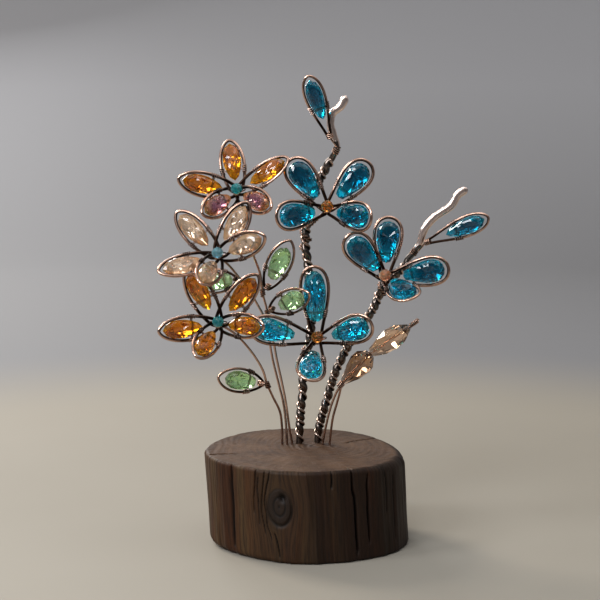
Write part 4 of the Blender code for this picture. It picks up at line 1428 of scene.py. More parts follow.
@dataclass
class Flower(WireForm):
    """Flower with a bead in front of its knot.

    Attributes:
        bead_glass: Glass of the bead.
        tints: Other glass for single drops, by number.
        bead: Diameter of the bead.
        bead_offset: Distance of the bead in front of the knot.
        tilt: Upward tilt of the flower's face, in degrees.
        bead_facets: Facets round the bead.
        bead_rows: Latitudes of the rows of corners on the bead, in degrees.
        hub: Radius of the coil that binds the loops at the knot.
        hub_reach: Reach of that coil behind the knot and in front of it.
        hub_turns: Turns of that coil.
        arch_room: Room between the bead and the arch of thin wire that carries it.
        arch: Half width of the arch's feet, share of its height at which it is widest, share of
            that width at its shoulders, and rise of its crown.
    """

    leg_gap: float = 2.6
    leg_ease: float = 3.0
    leg_bend: float = 2.4
    bead_glass: Glass = Glass.BROWN
    tints: dict[int, Glass] = field(default_factory=dict)
    bead: float = 5.7
    bead_offset: float = 5.4
    tilt: float = 25.0
    bead_facets: int = 8
    bead_rows: tuple[float, ...] = (-76, -46, -15, 15, 46, 76)
    hub: float = 1.5
    hub_reach: Pair = (1.7, 1.9)
    hub_turns: float = 4.0
    arch_room: float = 1.0
    arch: Four = (1.2, 0.55, 0.97, 0.05)

    @property
    def face(self) -> Array:
        """Direction in which the bead stands in front of the knot."""
        tilt = math.radians(self.tilt)
        return np.array([0, -math.cos(tilt), math.sin(tilt)])

    def bead_surface(self) -> Surface:
        """Ball cut with rows of facets, each row at a latitude about the hole, turned half a step.

        Returns:
            The bead.
        """
        latitude = np.radians(self.bead_rows)[:, None]
        turned = [row % 2 == 1 for row in range(len(latitude))]
        step = np.arange(self.bead_facets)[None] + 0.5 * np.array(turned)[:, None]
        angle = TURN * step / self.bead_facets
        radius = self.bead / 2
        over = np.cross(RIGHT, self.face)
        ring = self.face * np.cos(angle)[..., None] + over * np.sin(angle)[..., None]
        rings = RIGHT * np.sin(latitude)[..., None] + ring * np.cos(latitude)[..., None]
        centre = self.centre + self.face * self.bead_offset
        return facet_loft(centre + rings * radius, turned, np.abs(np.cos(latitude)) * np.ones_like(angle))

    def hub_parts(self) -> list[Surface]:
        """Coil that binds the loops, and the arch of thin wire that carries the bead.

        Returns:
            The arch and the coil.
        """
        reach = self.bead / 2 + self.arch_room
        depth = self.bead_offset
        foot, waist, shoulder, crown = self.arch
        half = ((foot, 0), (reach, depth * waist), (reach * shoulder, depth))
        places = [*((-x, z) for x, z in half), (0, depth + crown), *half[::-1]]
        arch = through([self.centre + RIGHT * x + self.face * z for x, z in places], 8)
        low, high = self.centre - self.face * self.hub_reach[0], self.centre + self.face * self.hub_reach[1]
        return [
            tube(arch, BINDING_WIRE / 2, np.cross(RIGHT, self.face), FINE_SIDES),
            spring(low, high, self.hub, self.hub_turns, COIL_WIRE),
        ]

    def build_glass(self, bench: Bench) -> None:
        """Make the bead and the drops.

        Args:
            bench: Bench that makes the pieces.
        """
        bench.add(
            f"{self.name}_center_glass", self.bead_surface(), self.bead_glass.value, [f"{self.name}_bead"],
            smooth=False,
        )
        for number, petal in enumerate(self.petals, 1):
            node = f"{self.name}_drop_{number}"
            glass = self.tints.get(number, self.glass)
            bench.add(
                f"{self.name}_glass_{number}", self.hung(petal), glass.value, [node],
                body=f"{node}_body", smooth=False,
            )

    def build_wire(self, bench: Bench, stalk: list[Surface]) -> None:
        """Make the loops with their stalk, and the binding wires.

        Args:
            bench: Bench that makes the pieces.
            stalk: Stem or tail of the flower.
        """
        node = f"{self.name}_flower_frame"
        wires = joined([*self.loops(), *self.hub_parts(), *stalk])
        bench.add(f"{self.name}_loops", wires, Copper.FRAME.value, [node])
        bench.add(f"{self.name}_bindings", self.bindings(), Copper.BINDING.value, [node])


@dataclass
class StemFlower(Flower):
    """Flower on a stem of its own wire.

    Attributes:
        foot: Place of the stem's foot on the wood.
        route: Places up the stem.
    """

    foot: Foot = (0.0, 0.0)
    route: tuple[Point, ...] = ()

    def __post_init__(self) -> None:
        """Lay the stem's rail."""
        self.rail = Rail(evened(through([*rooted(self.foot, self.route), self.knot])), BACK)

    def build(self, bench: Bench) -> None:
        """Make the flower and its stem."""
        self.build_wire(bench, [tube(self.rail.path, FRAME_WIRE / 2, -RIGHT, rub=darker_at_foot(self.rail.path))])
        self.build_glass(bench)


@dataclass
class TrunkFlower(Flower):
    """Flower whose two wire ends are twisted together and wound onto a trunk.

    Attributes:
        meets: Height at which the tail reaches the trunk.
        tail_wire: Diameter of each of the two ends.
        tail_turns: Turns of the tail round the trunk.
        twist: Length of one twist.
    """

    bead: float = 6.2
    meets: float = 0.0
    tail_wire: float = 0.9
    tail_turns: float = 1.5
    twist: float = 4.5

    def tail(self, trunk: Trunk) -> list[Surface]:
        """Twisted ends: straight to the trunk, then down it between the turns of its winding.

        Args:
            trunk: Trunk that carries the flower.

        Returns:
            The two wires.
        """
        rail = trunk.rail
        radius = trunk.core / 2 + self.tail_wire
        height = rail.at_height(self.meets)
        touch = rail.meets(height, self.centre, radius)
        apart = float(trunk.angle_at(np.array(height))) + math.pi - touch
        shift = apart - TURN * round(apart / TURN)
        first = height + shift * trunk.pitch / TURN
        down = np.linspace(0, self.tail_turns, round(self.tail_turns * TURN_POINTS))
        line, _ = rail.wound(first - down * trunk.pitch, touch + TURN * down, radius)
        straight = np.linspace(self.centre, line[0], 6)[:-1]
        return twisted_pair(np.vstack([straight, line]), UP, self.tail_wire, self.twist)

    def build(self, bench: Bench, trunk: Trunk) -> None:
        """Make the flower and wind its tail onto the trunk."""
        self.build_wire(bench, self.tail(trunk))
        self.build_glass(bench)


@dataclass
class Leaf(WireForm):
    """Single loop with a drop, coiled on a stem or on the top of a trunk.

    Attributes:
        carrier: Diameter of the wire that carries the leaf.
        turns: Turns of the coil.
        knot_radius: Radius of the twist at the foot of the leaf.
        clearance: Gap between the twist and the stem.
        twist: Length of the twist at the foot of the leaf.
        twist_back: Length of it behind the knot.
        twist_radius: Radius of its centre line, in wire widths of the loop.
    """

    gauge: Pair = (0.58, 0.66)
    carrier: float = FRAME_WIRE
    turns: float = 3.5
    knot_radius: float = 1.3
    clearance: float = 0.3
    twist: float = 2.9
    twist_back: float = 0.3
    twist_radius: float = 0.95

    @property
    def petal(self) -> Petal:
        """The leaf's only loop."""
        return self.petals[0]

    def beside(self, rail: Rail, distance: float) -> Array:
        """Place of the knot beside the stem, on the side that the leaf points to.

        Args:
            rail: Stem that carries the leaf.
            distance: Distance up the stem.

        Returns:
            The place of the knot.
        """
        centre, ahead, _, _ = (row[0] for row in rail.at(np.array([distance])))
        along = self.petal.axes()[0]
        side = unit(along - ahead * (along @ ahead))
        return centre + side * (FRAME_WIRE / 2 + self.knot_radius + self.clearance)

    def coil(self, rail: Rail, distance: float) -> list[Surface]:
        """End of the leaf's wire: straight to its carrier, then coiled down it.

        Args:
            rail: Stem or trunk that carries the leaf.
            distance: Distance up the stem at which the coil starts.

        Returns:
            The coil, and the twist at the foot of the leaf.
        """
        radius = (self.carrier + COIL_WIRE) / 2
        touch = rail.meets(distance, self.centre, radius)
        down = np.linspace(0, self.turns, round(self.turns * TURN_POINTS))
        line, outward = rail.wound(distance - down * COIL_WIRE * CLOSE_TURN, touch + TURN * down, radius)
        straight = np.linspace(self.centre, line[0], 5)[:-1]
        sides = np.vstack([np.repeat(outward[:1], len(straight), axis=0), outward])
        along = self.petal.axes()[0]
        low = self.centre - along * self.twist_back
        high = self.centre + along * (self.twist - self.twist_back)
        twist = spring(low, high, FRAME_WIRE * self.twist_radius, self.twist / COIL_WIRE, COIL_WIRE)
        return [tube(np.vstack([straight, line]), COIL_WIRE / 2, sides, FINE_SIDES), twist]

    def build(self, bench: Bench, rail: Rail, distance: float) -> None:
        """Make the leaf.

        Args:
            bench: Bench that makes the pieces.
            rail: Stem or trunk that carries it.
            distance: Distance up the stem at which the coil starts.
        """
        node = f"{self.name}_frame"
        wires = joined([*self.loops(), *self.coil(rail, distance)])
        bench.add(f"{self.name}_loop", wires, Copper.FRAME.value, [node])
        bench.add(f"{self.name}_bindings", self.bindings(), Copper.BINDING.value, [node])
        drop = f"{self.name}_drop"
        bench.add(
            f"{self.name}_glass", self.hung(self.petal), self.glass.value, [drop],
            body=f"{drop}_body", smooth=False,
        )


@dataclass
class BudSpray:
    """Two long buds threaded end to end on a bent wire that stands on two legs.

    Attributes:
        foot: Foot of the main leg.
        route: Places up the main leg.
        prop_foot: Foot of the prop.
        prop_route: Places up the prop.
        root: Place where the legs meet below the lower bud.
        elbow: Bend between the buds.
        tip: End of the wire.
        lower_width: Width of the lower bud.
        upper_width: Width of the upper bud.
        upper_length: Length of the upper bud.
        lower_tiers: Tiers of the lower bud: share of its length, and share of its width.
        upper_tiers: Tiers of the upper bud.
        gap: Gap at a bud's end.
        lower_start: Distance from the root to the lower bud.
        facets: Long facets round a bud.
        phase: Share of a facet by which a bud is turned on its wire.
        slims: Length above the root over which the wire slims to pass through the buds.
        root_coil: Coil at the root: reach below and above it, radius and turns.
        elbow_coil: Coil at the elbow.
        tip_coil: Coil from the upper bud to the tip: room below and above it, radius and turns.
        end_gap: Length of bare wire above the upper bud.
    """

    foot: Foot = (8.1, 12.0)
    route: tuple[Point, ...] = ((10.1, 11, 12.5), (12.1, 10, 20.5), (14.6, 8.5, 27.5))
    prop_foot: Foot = (11.6, 12.0)
    prop_route: tuple[Point, ...] = ((12.9, 11, 13.5), (14.9, 9.8, 21.5), (16.4, 8.2, 27.5))
    root: Point = (17.3, 7.0, 32.5)
    elbow: Point = (31.5, 2.9, 48.6)
    tip: Point = (55.1, -3.4, 66.5)
    lower_width: float = 12.5
    upper_width: float = 11.6
    upper_length: float = 23.0
    lower_tiers: Tiers = ((0.0, 0.28), (0.34, 0.74), (0.64, 1.0), (0.82, 0.92), (1.0, 0.44))
    upper_tiers: Tiers = ((0.0, 0.42), (0.26, 0.82), (0.52, 1.0), (0.76, 0.84), (1.0, 0.28))
    gap: float = 0.5
    lower_start: float = 1.6
    facets: int = 8
    phase: float = 0.1
    slims: float = 3.0
    root_coil: Four = (2.2, 1.2, 1.25, 4)
    elbow_coil: Four = (0.3, 0.7, 1.1, 2)
    tip_coil: Four = (0.3, 0.4, 0.85, 6)
    end_gap: float = 0.3

    def bud(
        self, low: Array, high: Array, start: float, length: float, width: float, tiers: Tiers
    ) -> Surface:
        """Spindle with tiers of long pointed facets, on the straight wire from low to high.

        Every other tier of corners is turned half a facet, so each facet is a long triangle.

        Args:
            low: Start of the wire.
            high: End of the wire.
            start: Distance of the bud from the start.
            length: Length of the bud.
            width: Greatest width.
            tiers: Share of the length, and share of the width there, for each row of corners.

        Returns:
            The bud.
        """
        axis = unit(high - low)
        first = unit(np.cross(axis, BACK))
        second = np.cross(axis, first)
        share, radius = np.array(tiers).T
        radius = radius * width / 2
        turned = [row % 2 == 1 for row in range(len(share))]
        step = np.arange(self.facets)[None] + self.phase + 0.5 * np.array(turned)[:, None]
        angle = (TURN * step / self.facets)[..., None]
        centre = low + axis * (start + length * share)[:, None]
        rings = centre[:, None] + radius[:, None, None] * (first * np.cos(angle) + second * np.sin(angle))
        depth = np.broadcast_to((radius / radius.max())[:, None], step.shape)
        return facet_loft(rings, turned, depth)

    def build(self, bench: Bench) -> None:
        """Make the wire with its coils, and the buds.

        Args:
            bench: Bench that makes the pieces.
        """
        root, elbow, tip = (np.array(place, float) for place in (self.root, self.elbow, self.tip))
        upward = unit(tip - elbow)
        lower_way = unit(elbow - root)
        leg = through([*rooted(self.foot, self.route), self.root])
        prop = through([*rooted(self.prop_foot, self.prop_route), self.root])
        stalk = evened(np.vstack([leg[:-1], np.linspace(root, elbow, 12)[:-1], np.linspace(elbow, tip, 12)]))
        threaded = eased(0, self.slims, (stalk - root) @ lower_way)
        stalk_radius = (FRAME_WIRE - (FRAME_WIRE - BINDING_WIRE) * threaded) / 2
        end = elbow + upward * (self.upper_length + 2 * self.gap + self.end_gap)
        before, after, *root_size = self.root_coil
        below, above, *elbow_size = self.elbow_coil
        room, tip_room, *tip_size = self.tip_coil
        wires = [
            tube(stalk, stalk_radius[:, None], -RIGHT, rub=darker_at_foot(stalk)),
            tube(evened(prop), FRAME_WIRE / 2, -RIGHT, rub=darker_at_foot(evened(prop))),
            spring(root - lower_way * before, root + lower_way * after, *root_size, COIL_WIRE),
            spring(elbow - upward * below, elbow + upward * above, *elbow_size, BINDING_WIRE),
            spring(end + upward * room, tip - upward * tip_room, *tip_size, COIL_WIRE),
        ]
        bench.add("bud_wire", joined(wires), Copper.FRAME.value, ["bud_stem"])
        lower_length = np.linalg.norm(elbow - root) - self.lower_start - self.gap
        lower = self.bud(root, elbow, self.lower_start, lower_length, self.lower_width, self.lower_tiers)
        upper = self.bud(elbow, tip, 2 * self.gap, self.upper_length, self.upper_width, self.upper_tiers)
        for name, stone, glass in (("lower_bud", lower, Glass.SMOKE), ("upper_bud", upper, Glass.HONEY)):
            bench.add(f"{name}_glass", stone, glass.value, [name], body=f"{name}_body", smooth=False)


@dataclass(frozen=True)
class Crack:
    """Drying crack down the side of the wood.

    Attributes:
        bearing: Bearing from the front to the viewer's right, in degrees.
        low: Height of its lower end above the underside.
        high: Height of its upper end.
        width: Half width of the opening.
        depth: Depth.
        drift: Sideways drift from the lower to the upper end.
    """

    bearing: float
    low: float
    high: float
    width: float
    depth: float
    drift: float = 0.0


@dataclass
class WoodRound:
    """Round sawn from an old beam, with a knot, weathered fibres and drying cracks.

    Attributes:
        radius: Mean radius.
        height: Height.
        lean: Sideways shift of the foot to the right, and of the top to the left.
        top_round: Rounding of the top edge, in front and at its most on the right.
        foot_round: Rounding of the lower edge, in front and at its most on the left.
        wander: Departure of the outline from a circle.
        lobes: Waves round the outline: count, share of the wander and phase.
        columns: Points round the wood.
        crowd: How much closer the points lie in front.
        cracks: Cracks down the side.
        top_cracks: Cracks across the top: bearing, inner and outer radius.
        knot: Bearing arc and height of the knot's middle.
        knot_size: Half width and half height of the knot.
        pith: Middle of the year rings on top.
        slope: Rise of the top from the front to the back, and from the right to the left.
        fibre: Width, length and relief of the fine fibres.
        ridge: Width, length and relief of the broad fibres.
        knot_swell: Spread of the knot's push on the grain, and its strength.
        knot_relief: Height of the knot, depth of its veins, of the groove round it and of its hole.
        top_relief: Depth of the top's cracks, height of its year rings and of its roughness.
        grain: Width of a rough spot on top, radians of its year rings in a millimetre, and stretch
            of the grain along the side and across the top.
    """

    radius: float = 49.0
    height: float = 45.0
    lean: float = 1.2
    top_round: Pair = (1.9, 4.6)
    foot_round: Pair = (1.5, 4.5)
    wander: float = 1.2
    lobes: tuple[tuple[int, float, float], ...] = ((2, 0.6, 0.6), (5, 0.4, 2.0))
    columns: int = 620
    crowd: float = 0.4
    cracks: tuple[Crack, ...] = (
        Crack(-48.5, 1, 45, 1.0, 2.2, 0.8),
        Crack(-30, 22, 45, 0.4, 1.8, 1.6),
        Crack(-26.5, 16, 42, 0.32, 1.4, 0.6),
        Crack(-23.5, 12, 45, 0.34, 1.5, 0.8),
        Crack(-20.5, 9, 45, 0.3, 1.3, 0.4),
        Crack(-17.5, 2, 15, 0.3, 1.0, -1.6),
        Crack(28.5, 2, 45, 0.6, 3.2, -1.0),
        Crack(37.5, 6, 43, 0.6, 3.0, 0.5),
        Crack(15, 36, 45, 0.4, 1.4, -0.6),
        Crack(51, 20, 45, 0.35, 1.2, 0.6),
        Crack(58, 6, 40, 0.35, 1.2, 0.8),
        Crack(95, 6, 40, 0.6, 2.6, 1.0),
        Crack(150, 3, 44, 0.6, 3.0, -1.0),
        Crack(-120, 10, 43, 0.6, 2.6, 1.5),
    )
    top_cracks: tuple[Triple, ...] = ((128, 24, 48), (-75, 33, 48), (28.5, 40, 48))
    knot: Pair = (-13.4, 27.7)
    knot_size: Pair = (6.0, 9.0)
    pith: Pair = (6.0, 9.0)
    slope: Pair = (1.8, 1.2)
    fibre: Triple = (0.9, 26.0, 0.16)
    ridge: Triple = (4.0, 40.0, 0.4)
    knot_swell: Pair = (2.6, 0.8)
    knot_relief: Four = (0.25, 0.25, 0.7, 1.8)
    top_relief: Triple = (1.4, 0.12, 0.12)
    grain: Four = (2.2, 2.2, 16.0, 9.0)

    def top_edge(self, bearing: Array) -> Array:
        """Rounding of the top edge at bearings: least in front, most on the right."""
        return self.top_round[0] + np.ptp(self.top_round) * eased(0.3, 1.0, np.sin(bearing))

    def profile(self, bearing: Array) -> tuple[Array, Array]:
        """Inset and height of each row at each bearing, from the underside up the side and in over the top.

        The top edge is rounder on the right and the lower edge on the left. Each rounding
        is a quarter circle.

        Args:
            bearing: Bearings from the front to the viewer's right.

        Returns:
            Insets and heights, by row and bearing.
        """
        foot = self.foot_round[0] + np.ptp(self.foot_round) * eased(0.1, 1.0, -np.sin(bearing))
        edge = self.top_edge(bearing)
        quarter = np.linspace(0, math.pi / 2, 7)[:, None]
        shoulder = np.linspace(0, math.pi / 2, 10)[:, None]
        up = np.linspace(0, 1, 92)[1:-1, None]
        inward = np.linspace(0, 1, 40)[1:, None]
        inset = [
            foot * (1 - np.sin(quarter)), np.zeros_like(up * foot),
            edge * (1 - np.cos(shoulder)), edge + (self.radius - 1 - edge) * inward,
        ]
        height = [
            foot * (1 - np.cos(quarter)), foot + (self.height - edge - foot) * up,
            self.height - edge * (1 - np.sin(shoulder)), np.full_like(inward * edge, self.height),
        ]
        return np.vstack(inset), np.vstack(height)

    def opened(self, arc: Array, height: Array) -> tuple[Array, Array]:
        """Depth of the cracks at places on the side, and the painted shade in them.

        Each crack is a groove exp(-(d / width)^2), where d is the distance from a line that
        drifts and wavers as it climbs, faded out towards its ends.

        Args:
            arc: Distance round the side from the front.
            height: Height above the underside.

        Returns:
            Depth of the groove, and the painted shade in it.
        """
        carve = np.zeros_like(arc)
        dark = np.zeros_like(arc)
        for number, crack in enumerate(self.cracks):
            share = np.clip((height - crack.low) / (crack.high - crack.low), 0, 1)
            waver = 0.5 * lattice_noise(height / 6, np.zeros_like(height) + number, (16, 16), 31)
            line = self.radius * math.radians(crack.bearing) + crack.drift * (share - 0.5) + waver
            width = crack.width * (0.35 + 0.65 * np.sin(math.pi * share) ** 0.5)
            fade = eased(0, 0.12, share) * eased(0, 0.06, 1 - share)
            groove = np.exp(-(((arc - line) / width) ** 2)) * fade
            carve = np.maximum(carve, crack.depth * groove)
            dark = np.maximum(dark, eased(0.1, 0.65, groove))
        return carve, dark

    def split_top(self, radius: Array, bearing: Array) -> Array:
        """Painted shade of the cracks across the top, which also sets how far the top sinks along them: 1 on
        a wavering radial line, faded out inwards.

        Args:
            radius: Distance from the middle.
            bearing: Bearing from the front.

        Returns:
            The painted shade, also the share of the sink.
        """
        dark = np.zeros_like(radius)
        for at, inner, outer in self.top_cracks:
            miss = radius * np.sin(bearing - math.radians(at)) + 0.6 * np.sin(radius / 3)
            span = eased(inner, inner + 6, radius) * (np.cos(bearing - math.radians(at)) > 0)
            dark = np.maximum(dark, np.exp(-((miss / 0.5) ** 2)) * span * (radius < outer + 4))
        return dark

    def fibres(self, flow: Array, height: Array, form: Triple, seed: int) -> Array:
        """Noise drawn out into upright fibres that close round the wood.

        Args:
            flow: Distance round the side, pushed aside by the knot.
            height: Height above the underside.
            form: Width, length and relief of a fibre.
            seed: Seed of the noise.

        Returns:
            The noise, from -1 to 1.
        """
        girth = TURN * self.radius
        cells = round(girth / form[0])
        return lattice_noise(flow / girth * cells, height / form[1], (cells, 4), seed)

    def surface(self) -> Surface:
        """Wood as a grid of bearings by rows of the profile.

        The radius at a bearing is the mean radius and its lobes, less the row's inset, plus
        fibres and less cracks. The grain is drawn round the knot, which stands proud with a
        groove round it. The top sinks a little along its cracks and rises between the year rings.

        Returns:
            The skin with its marks: side_grain, top_grain, top, knot, crack, and the mark that darkens the
                right side, partly oiling and partly painted shade.
        """
        even = TURN * (np.arange(self.columns) / self.columns - 0.5)
        bearing = (even - self.crowd * np.sin(even))[None, :]
        inset, high = self.profile(bearing)
        top = eased(0.45, 1.25, inset / self.top_edge(bearing)) * (high > self.height / 2)
        outline = sum(
            share * np.cos(count * (bearing - TURN / 4) + phase) for count, share, phase in self.lobes
        )
        arc = np.broadcast_to(self.radius * bearing, high.shape)

        across, above = (arc - self.knot[0]) / self.knot_size[0], (high - self.knot[1]) / self.knot_size[1]
        reach = np.hypot(across, above)
        spread, push = self.knot_swell
        flow = arc - self.knot_size[0] * across * np.exp(-(reach**2) / spread) * push
        fine = self.fibres(flow, high, self.fibre, 7)
        broad = self.fibres(flow, high, self.ridge, 8)
        heart = eased(1.12, 0.82, reach)
        rim = np.exp(-(((reach - 1.04) / 0.1) ** 2)) * eased(-1.0, 0.4, -above)
        hole = np.exp(-((across - 0.3) ** 2 * 14 + (above - 0.5) ** 2 * 22))
        carve, dark = self.opened(flow, high)
        side = 1 - top
        vein = heart * eased(0.2, 1.0, np.cos(reach * 13 + 1.6 * broad))
        proud, veined, rimmed, hollow = self.knot_relief
        bump = self.fibre[2] * fine + self.ridge[2] * broad + proud * heart - veined * vein
        bump = side * (bump - rimmed * rim - hollow * hole - carve)

        radius = self.radius + self.wander * outline - inset
        top_dark = self.split_top(radius, bearing)
        aside = self.lean * (1 - 2 * high / self.height)
        x = (radius + bump) * np.sin(bearing) + aside
        y = -(radius + bump) * np.cos(bearing)
        off, away = x - self.pith[0], y - self.pith[1]
        year = np.hypot(off, away) * (1 + 0.05 * np.sin(off / 9) + 0.05 * np.cos(away / 8))
        spot, wave, side_stretch, top_stretch = self.grain
        rough = lattice_noise(x / spot, y / spot, (48, 48), 9)
        split, ringed, coarse = self.top_relief
        z = high - top * (split * top_dark + ringed * np.sin(year * wave) + coarse * rough) - self.height
        backward, leftward = ((1 + y / self.radius) / 2) ** 3, -x * np.abs(x) / self.radius**2 / 2
        z = z + (self.slope[0] * backward + self.slope[1] * leftward) * high / self.height

        turned = flow / self.radius
        round_x, round_y = self.radius * np.sin(turned), self.radius * np.cos(turned)
        side_grain = np.stack([round_x, round_y, high / side_stretch], axis=-1)
        top_grain = np.stack([year, x / top_stretch, y / top_stretch], axis=-1)
        # Painted shade in the knot's hole and the groove round it, with the knot's own dark rings
        knot_shade_and_rings = np.maximum(np.maximum(hole, 0.8 * rim), 0.7 * vein)
        crack_shade_and_rings = np.clip(np.maximum(side * np.maximum(dark, knot_shade_and_rings), top * top_dark), 0, 1)
        marks = {
            "side_grain": side_grain * MM, "top_grain": top_grain * MM, "top": top,
            "knot": 0.8 * side * heart, "crack": crack_shade_and_rings,
            # Darker towards the right: partly deeper oiling, partly painted shade on the side away from the
            # light
            "oil_and_shade": np.broadcast_to(0.45 * eased(-0.7, 0.5, bearing), high.shape),
        }
        return loft(np.stack([x, y, z], axis=-1), marks)

    def build(self, bench: Bench) -> None:
        """Make the wood."""
        bench.add("wood_round", self.surface(), WoodFinish(), ["wood_base"])


@dataclass(frozen=True)
class Lamp:
    """Soft square lamp: place and aim in metres, size, power in watts and colour."""

    name: str
    place: Point
    aim: Point
    size: float
    power: float
    colour: str

    def hang(self) -> None:
        """Add the lamp, turned to its aim."""
        light = bpy.data.lights.new(self.name, "AREA")
        light.shape = "SQUARE"
        light.size = self.size
        light.energy = self.power
        light.color = rgba(self.colour)[:3]
        lamp = bpy.data.objects.new(self.name, light)
        lamp.visible_camera = False
        lamp.location = self.place
        aim = Vector(self.aim) - lamp.location
        lamp.rotation_euler = aim.to_track_quat("-Z", "Y").to_euler()
        bpy.context.scene.collection.objects.link(lamp)


@dataclass
class Studio:
    """Pale paper bowl, soft lamps, and the camera at the photograph's place.

    Attributes:
        eye: Place of the camera, in metres.
        pitch: Downward pitch of the camera, in degrees.
        lens: Focal length on a 36 mm sensor.
        floor: Radius of the flat floor.
        cove: Radius of the curve up to the wall.
        wall: Height of the wall.
        sky: Strength of the soft light from above.
        sky_colour: Colour of that light.
        pale: Colour that the camera, metal and glass see in place of the sky.
        floor_hub: Radius of the disc that closes the floor's middle.
        floor_drop: Gap between the wood and the floor, in millimetres.
        floor_grid: Rings of the flat floor and of the curve, and points round them.
        lamps: Lamps.
    """

    eye: Point = (-0.0035, -0.9, 0.241)
    pitch: float = 7.6
    lens: float = 110.2
    floor: float = 1.2
    cove: float = 0.5
    wall: float = 1.4
    sky: float = 0.34
    sky_colour: str = "#f2f5fa"
    pale: str = "#e6e7e9"
    floor_hub: float = 0.02
    floor_drop: float = 0.2
    floor_grid: tuple[int, int, int] = (30, 24, 128)
    lamps: tuple[Lamp, ...] = (
        Lamp("key", (-1.0, 1.0, 1.1), (0, 0, 0.13), 0.48, 15.5, "#fff6ea"),
        Lamp("back window", (-0.5, 1.45, 0.62), (0, 0, 0.15), 0.48, 5.0, "#ffffff"),
        Lamp("middle window", (-0.55, -0.75, 0.62), (0, 0, 0.15), 0.3, 4.0, "#f6f9ff"),
        Lamp("side window", (-0.9, -0.4, 0.8), (0, 0, 0.15), 0.3, 4.0, "#f6f9ff"),
        Lamp("front window", (-0.2, -0.85, 0.85), (0, 0, 0.15), 0.3, 3.2, "#f6f9ff"),
        Lamp("overhead", (0.25, -0.1, 1.1), (0, 0, 0.1), 0.4, 1.0, "#ffffff"),
    )

    def build(self, bench: Bench) -> None:
        """Set the stage, the light and the camera.

        Args:
            bench: Bench that makes the floor.
        """
        self.lay_floor(bench)
        self.light_world()
        for lamp in self.lamps:
            lamp.hang()
        self.set_camera()
        bpy.context.scene.view_settings.view_transform = "Standard"

    def lay_floor(self, bench: Bench) -> None:
        """Paper turned about the vertical: a disc, a quarter circle up and a wall.

        Args:
            bench: Bench that makes the floor.
        """
        rings, bends, sides = self.floor_grid
        bend = np.linspace(math.pi / 2, 0, bends)
        flat = np.linspace(self.floor, self.floor_hub, rings)[1:]
        radius = np.concatenate([[self.floor + self.cove], self.floor + self.cove * np.sin(bend), flat])
        height = np.concatenate([[self.wall], self.cove * (1 - np.cos(bend)), np.zeros_like(flat)])
        angle = TURN * np.arange(sides) / sides
        x = radius[:, None] * np.cos(angle)
        y = radius[:, None] * np.sin(angle)
        bowl = np.stack([x, y, np.broadcast_to(height[:, None], x.shape)], axis=-1) / MM
        bowl = bowl - UP * (bench.lift + self.floor_drop)
        paper = bench.mesh("paper_floor", loft(bowl, {}, open_start=True), True)
        bench.dress(paper, PaperFinish())

    def light_world(self) -> None:
        """Even light from above, which the camera, metal and glass see as pale grey."""
        world = bpy.data.worlds.new("studio sky")
        add = bare(world)
        path = add("LightPath").outputs
        seen = add("Math", {0: path["Is Camera Ray"], 1: path["Is Glossy Ray"]}, operation="MAXIMUM")
        shown = add("Math", {0: seen, 1: path["Is Transmission Ray"]}, operation="MAXIMUM")
        light = add("Background", {"Color": rgba(self.sky_colour), "Strength": self.sky})
        pale = add("Background", {"Color": rgba(self.pale), "Strength": 1.0})
        mixed = add("MixShader", {0: shown, 1: light, 2: pale})
        add("OutputWorld", {"Surface": mixed})
        bpy.context.scene.world = world

    def set_camera(self) -> None:
        """Stand the camera where the photograph was taken from."""
        data = bpy.data.cameras.new("camera")
        data.sensor_width = 36
        data.lens = self.lens
        camera = bpy.data.objects.new("camera", data)
        camera.location = self.eye
        camera.rotation_euler = (math.radians(90 - self.pitch), 0, 0)
        bpy.context.scene.collection.objects.link(camera)
        bpy.context.scene.camera = camera


LEFT_TRUNK = Trunk(
    "left_trunk",
    (-3.9, 15),
    (
        (-3.5, 15, 10), (-3, 15, 19), (-2, 15, 27), (-2, 15, 34), (0, 15, 46), (2, 15, 59), (2, 15, 71.5),
        (1, 15, 84), (0.4, 15, 92.5), (-0.7, 14.5, 101), (-0.5, 14, 109.5), (0.2, 14.3, 117.5),
        (2, 14.2, 125), (5, 13.8, 132), (9, 12.2, 139.5), (12.3, 9.8, 145.5), (14.8, 8, 151),
    ),
    ((13.3, 7.5, 156), (11.5, 7, 162), (12.5, 7, 167.5), (16.6, 7, 171), (19.1, 7, 176)),
    7.6,
    wrap=1.7,
)
RIGHT_TRUNK = Trunk(
    "right_trunk",
    (5.4, 17),
    (
        (6.2, 17, 8), (7.9, 17, 15), (10.4, 16.5, 23.5), (12.5, 16, 31), (15.2, 15, 39), (18.2, 14.5, 45.5),
        (21.2, 14, 51.5), (25.7, 13.5, 60), (31.2, 13, 66.5), (34.1, 12.5, 71.5), (36.6, 12, 78),
        (39.5, 11, 83), (44.4, 10, 87.5), (48.8, 9, 92), (51.7, 8, 96.5), (54.1, 7, 100.5),
    ),
    ((56, 6.5, 103.5), (58.2, 6, 110.5), (63.3, 6, 116.5), (71.2, 6, 122), (74.6, 6, 127.5), (79, 6, 130.5)),
    6.6,
)

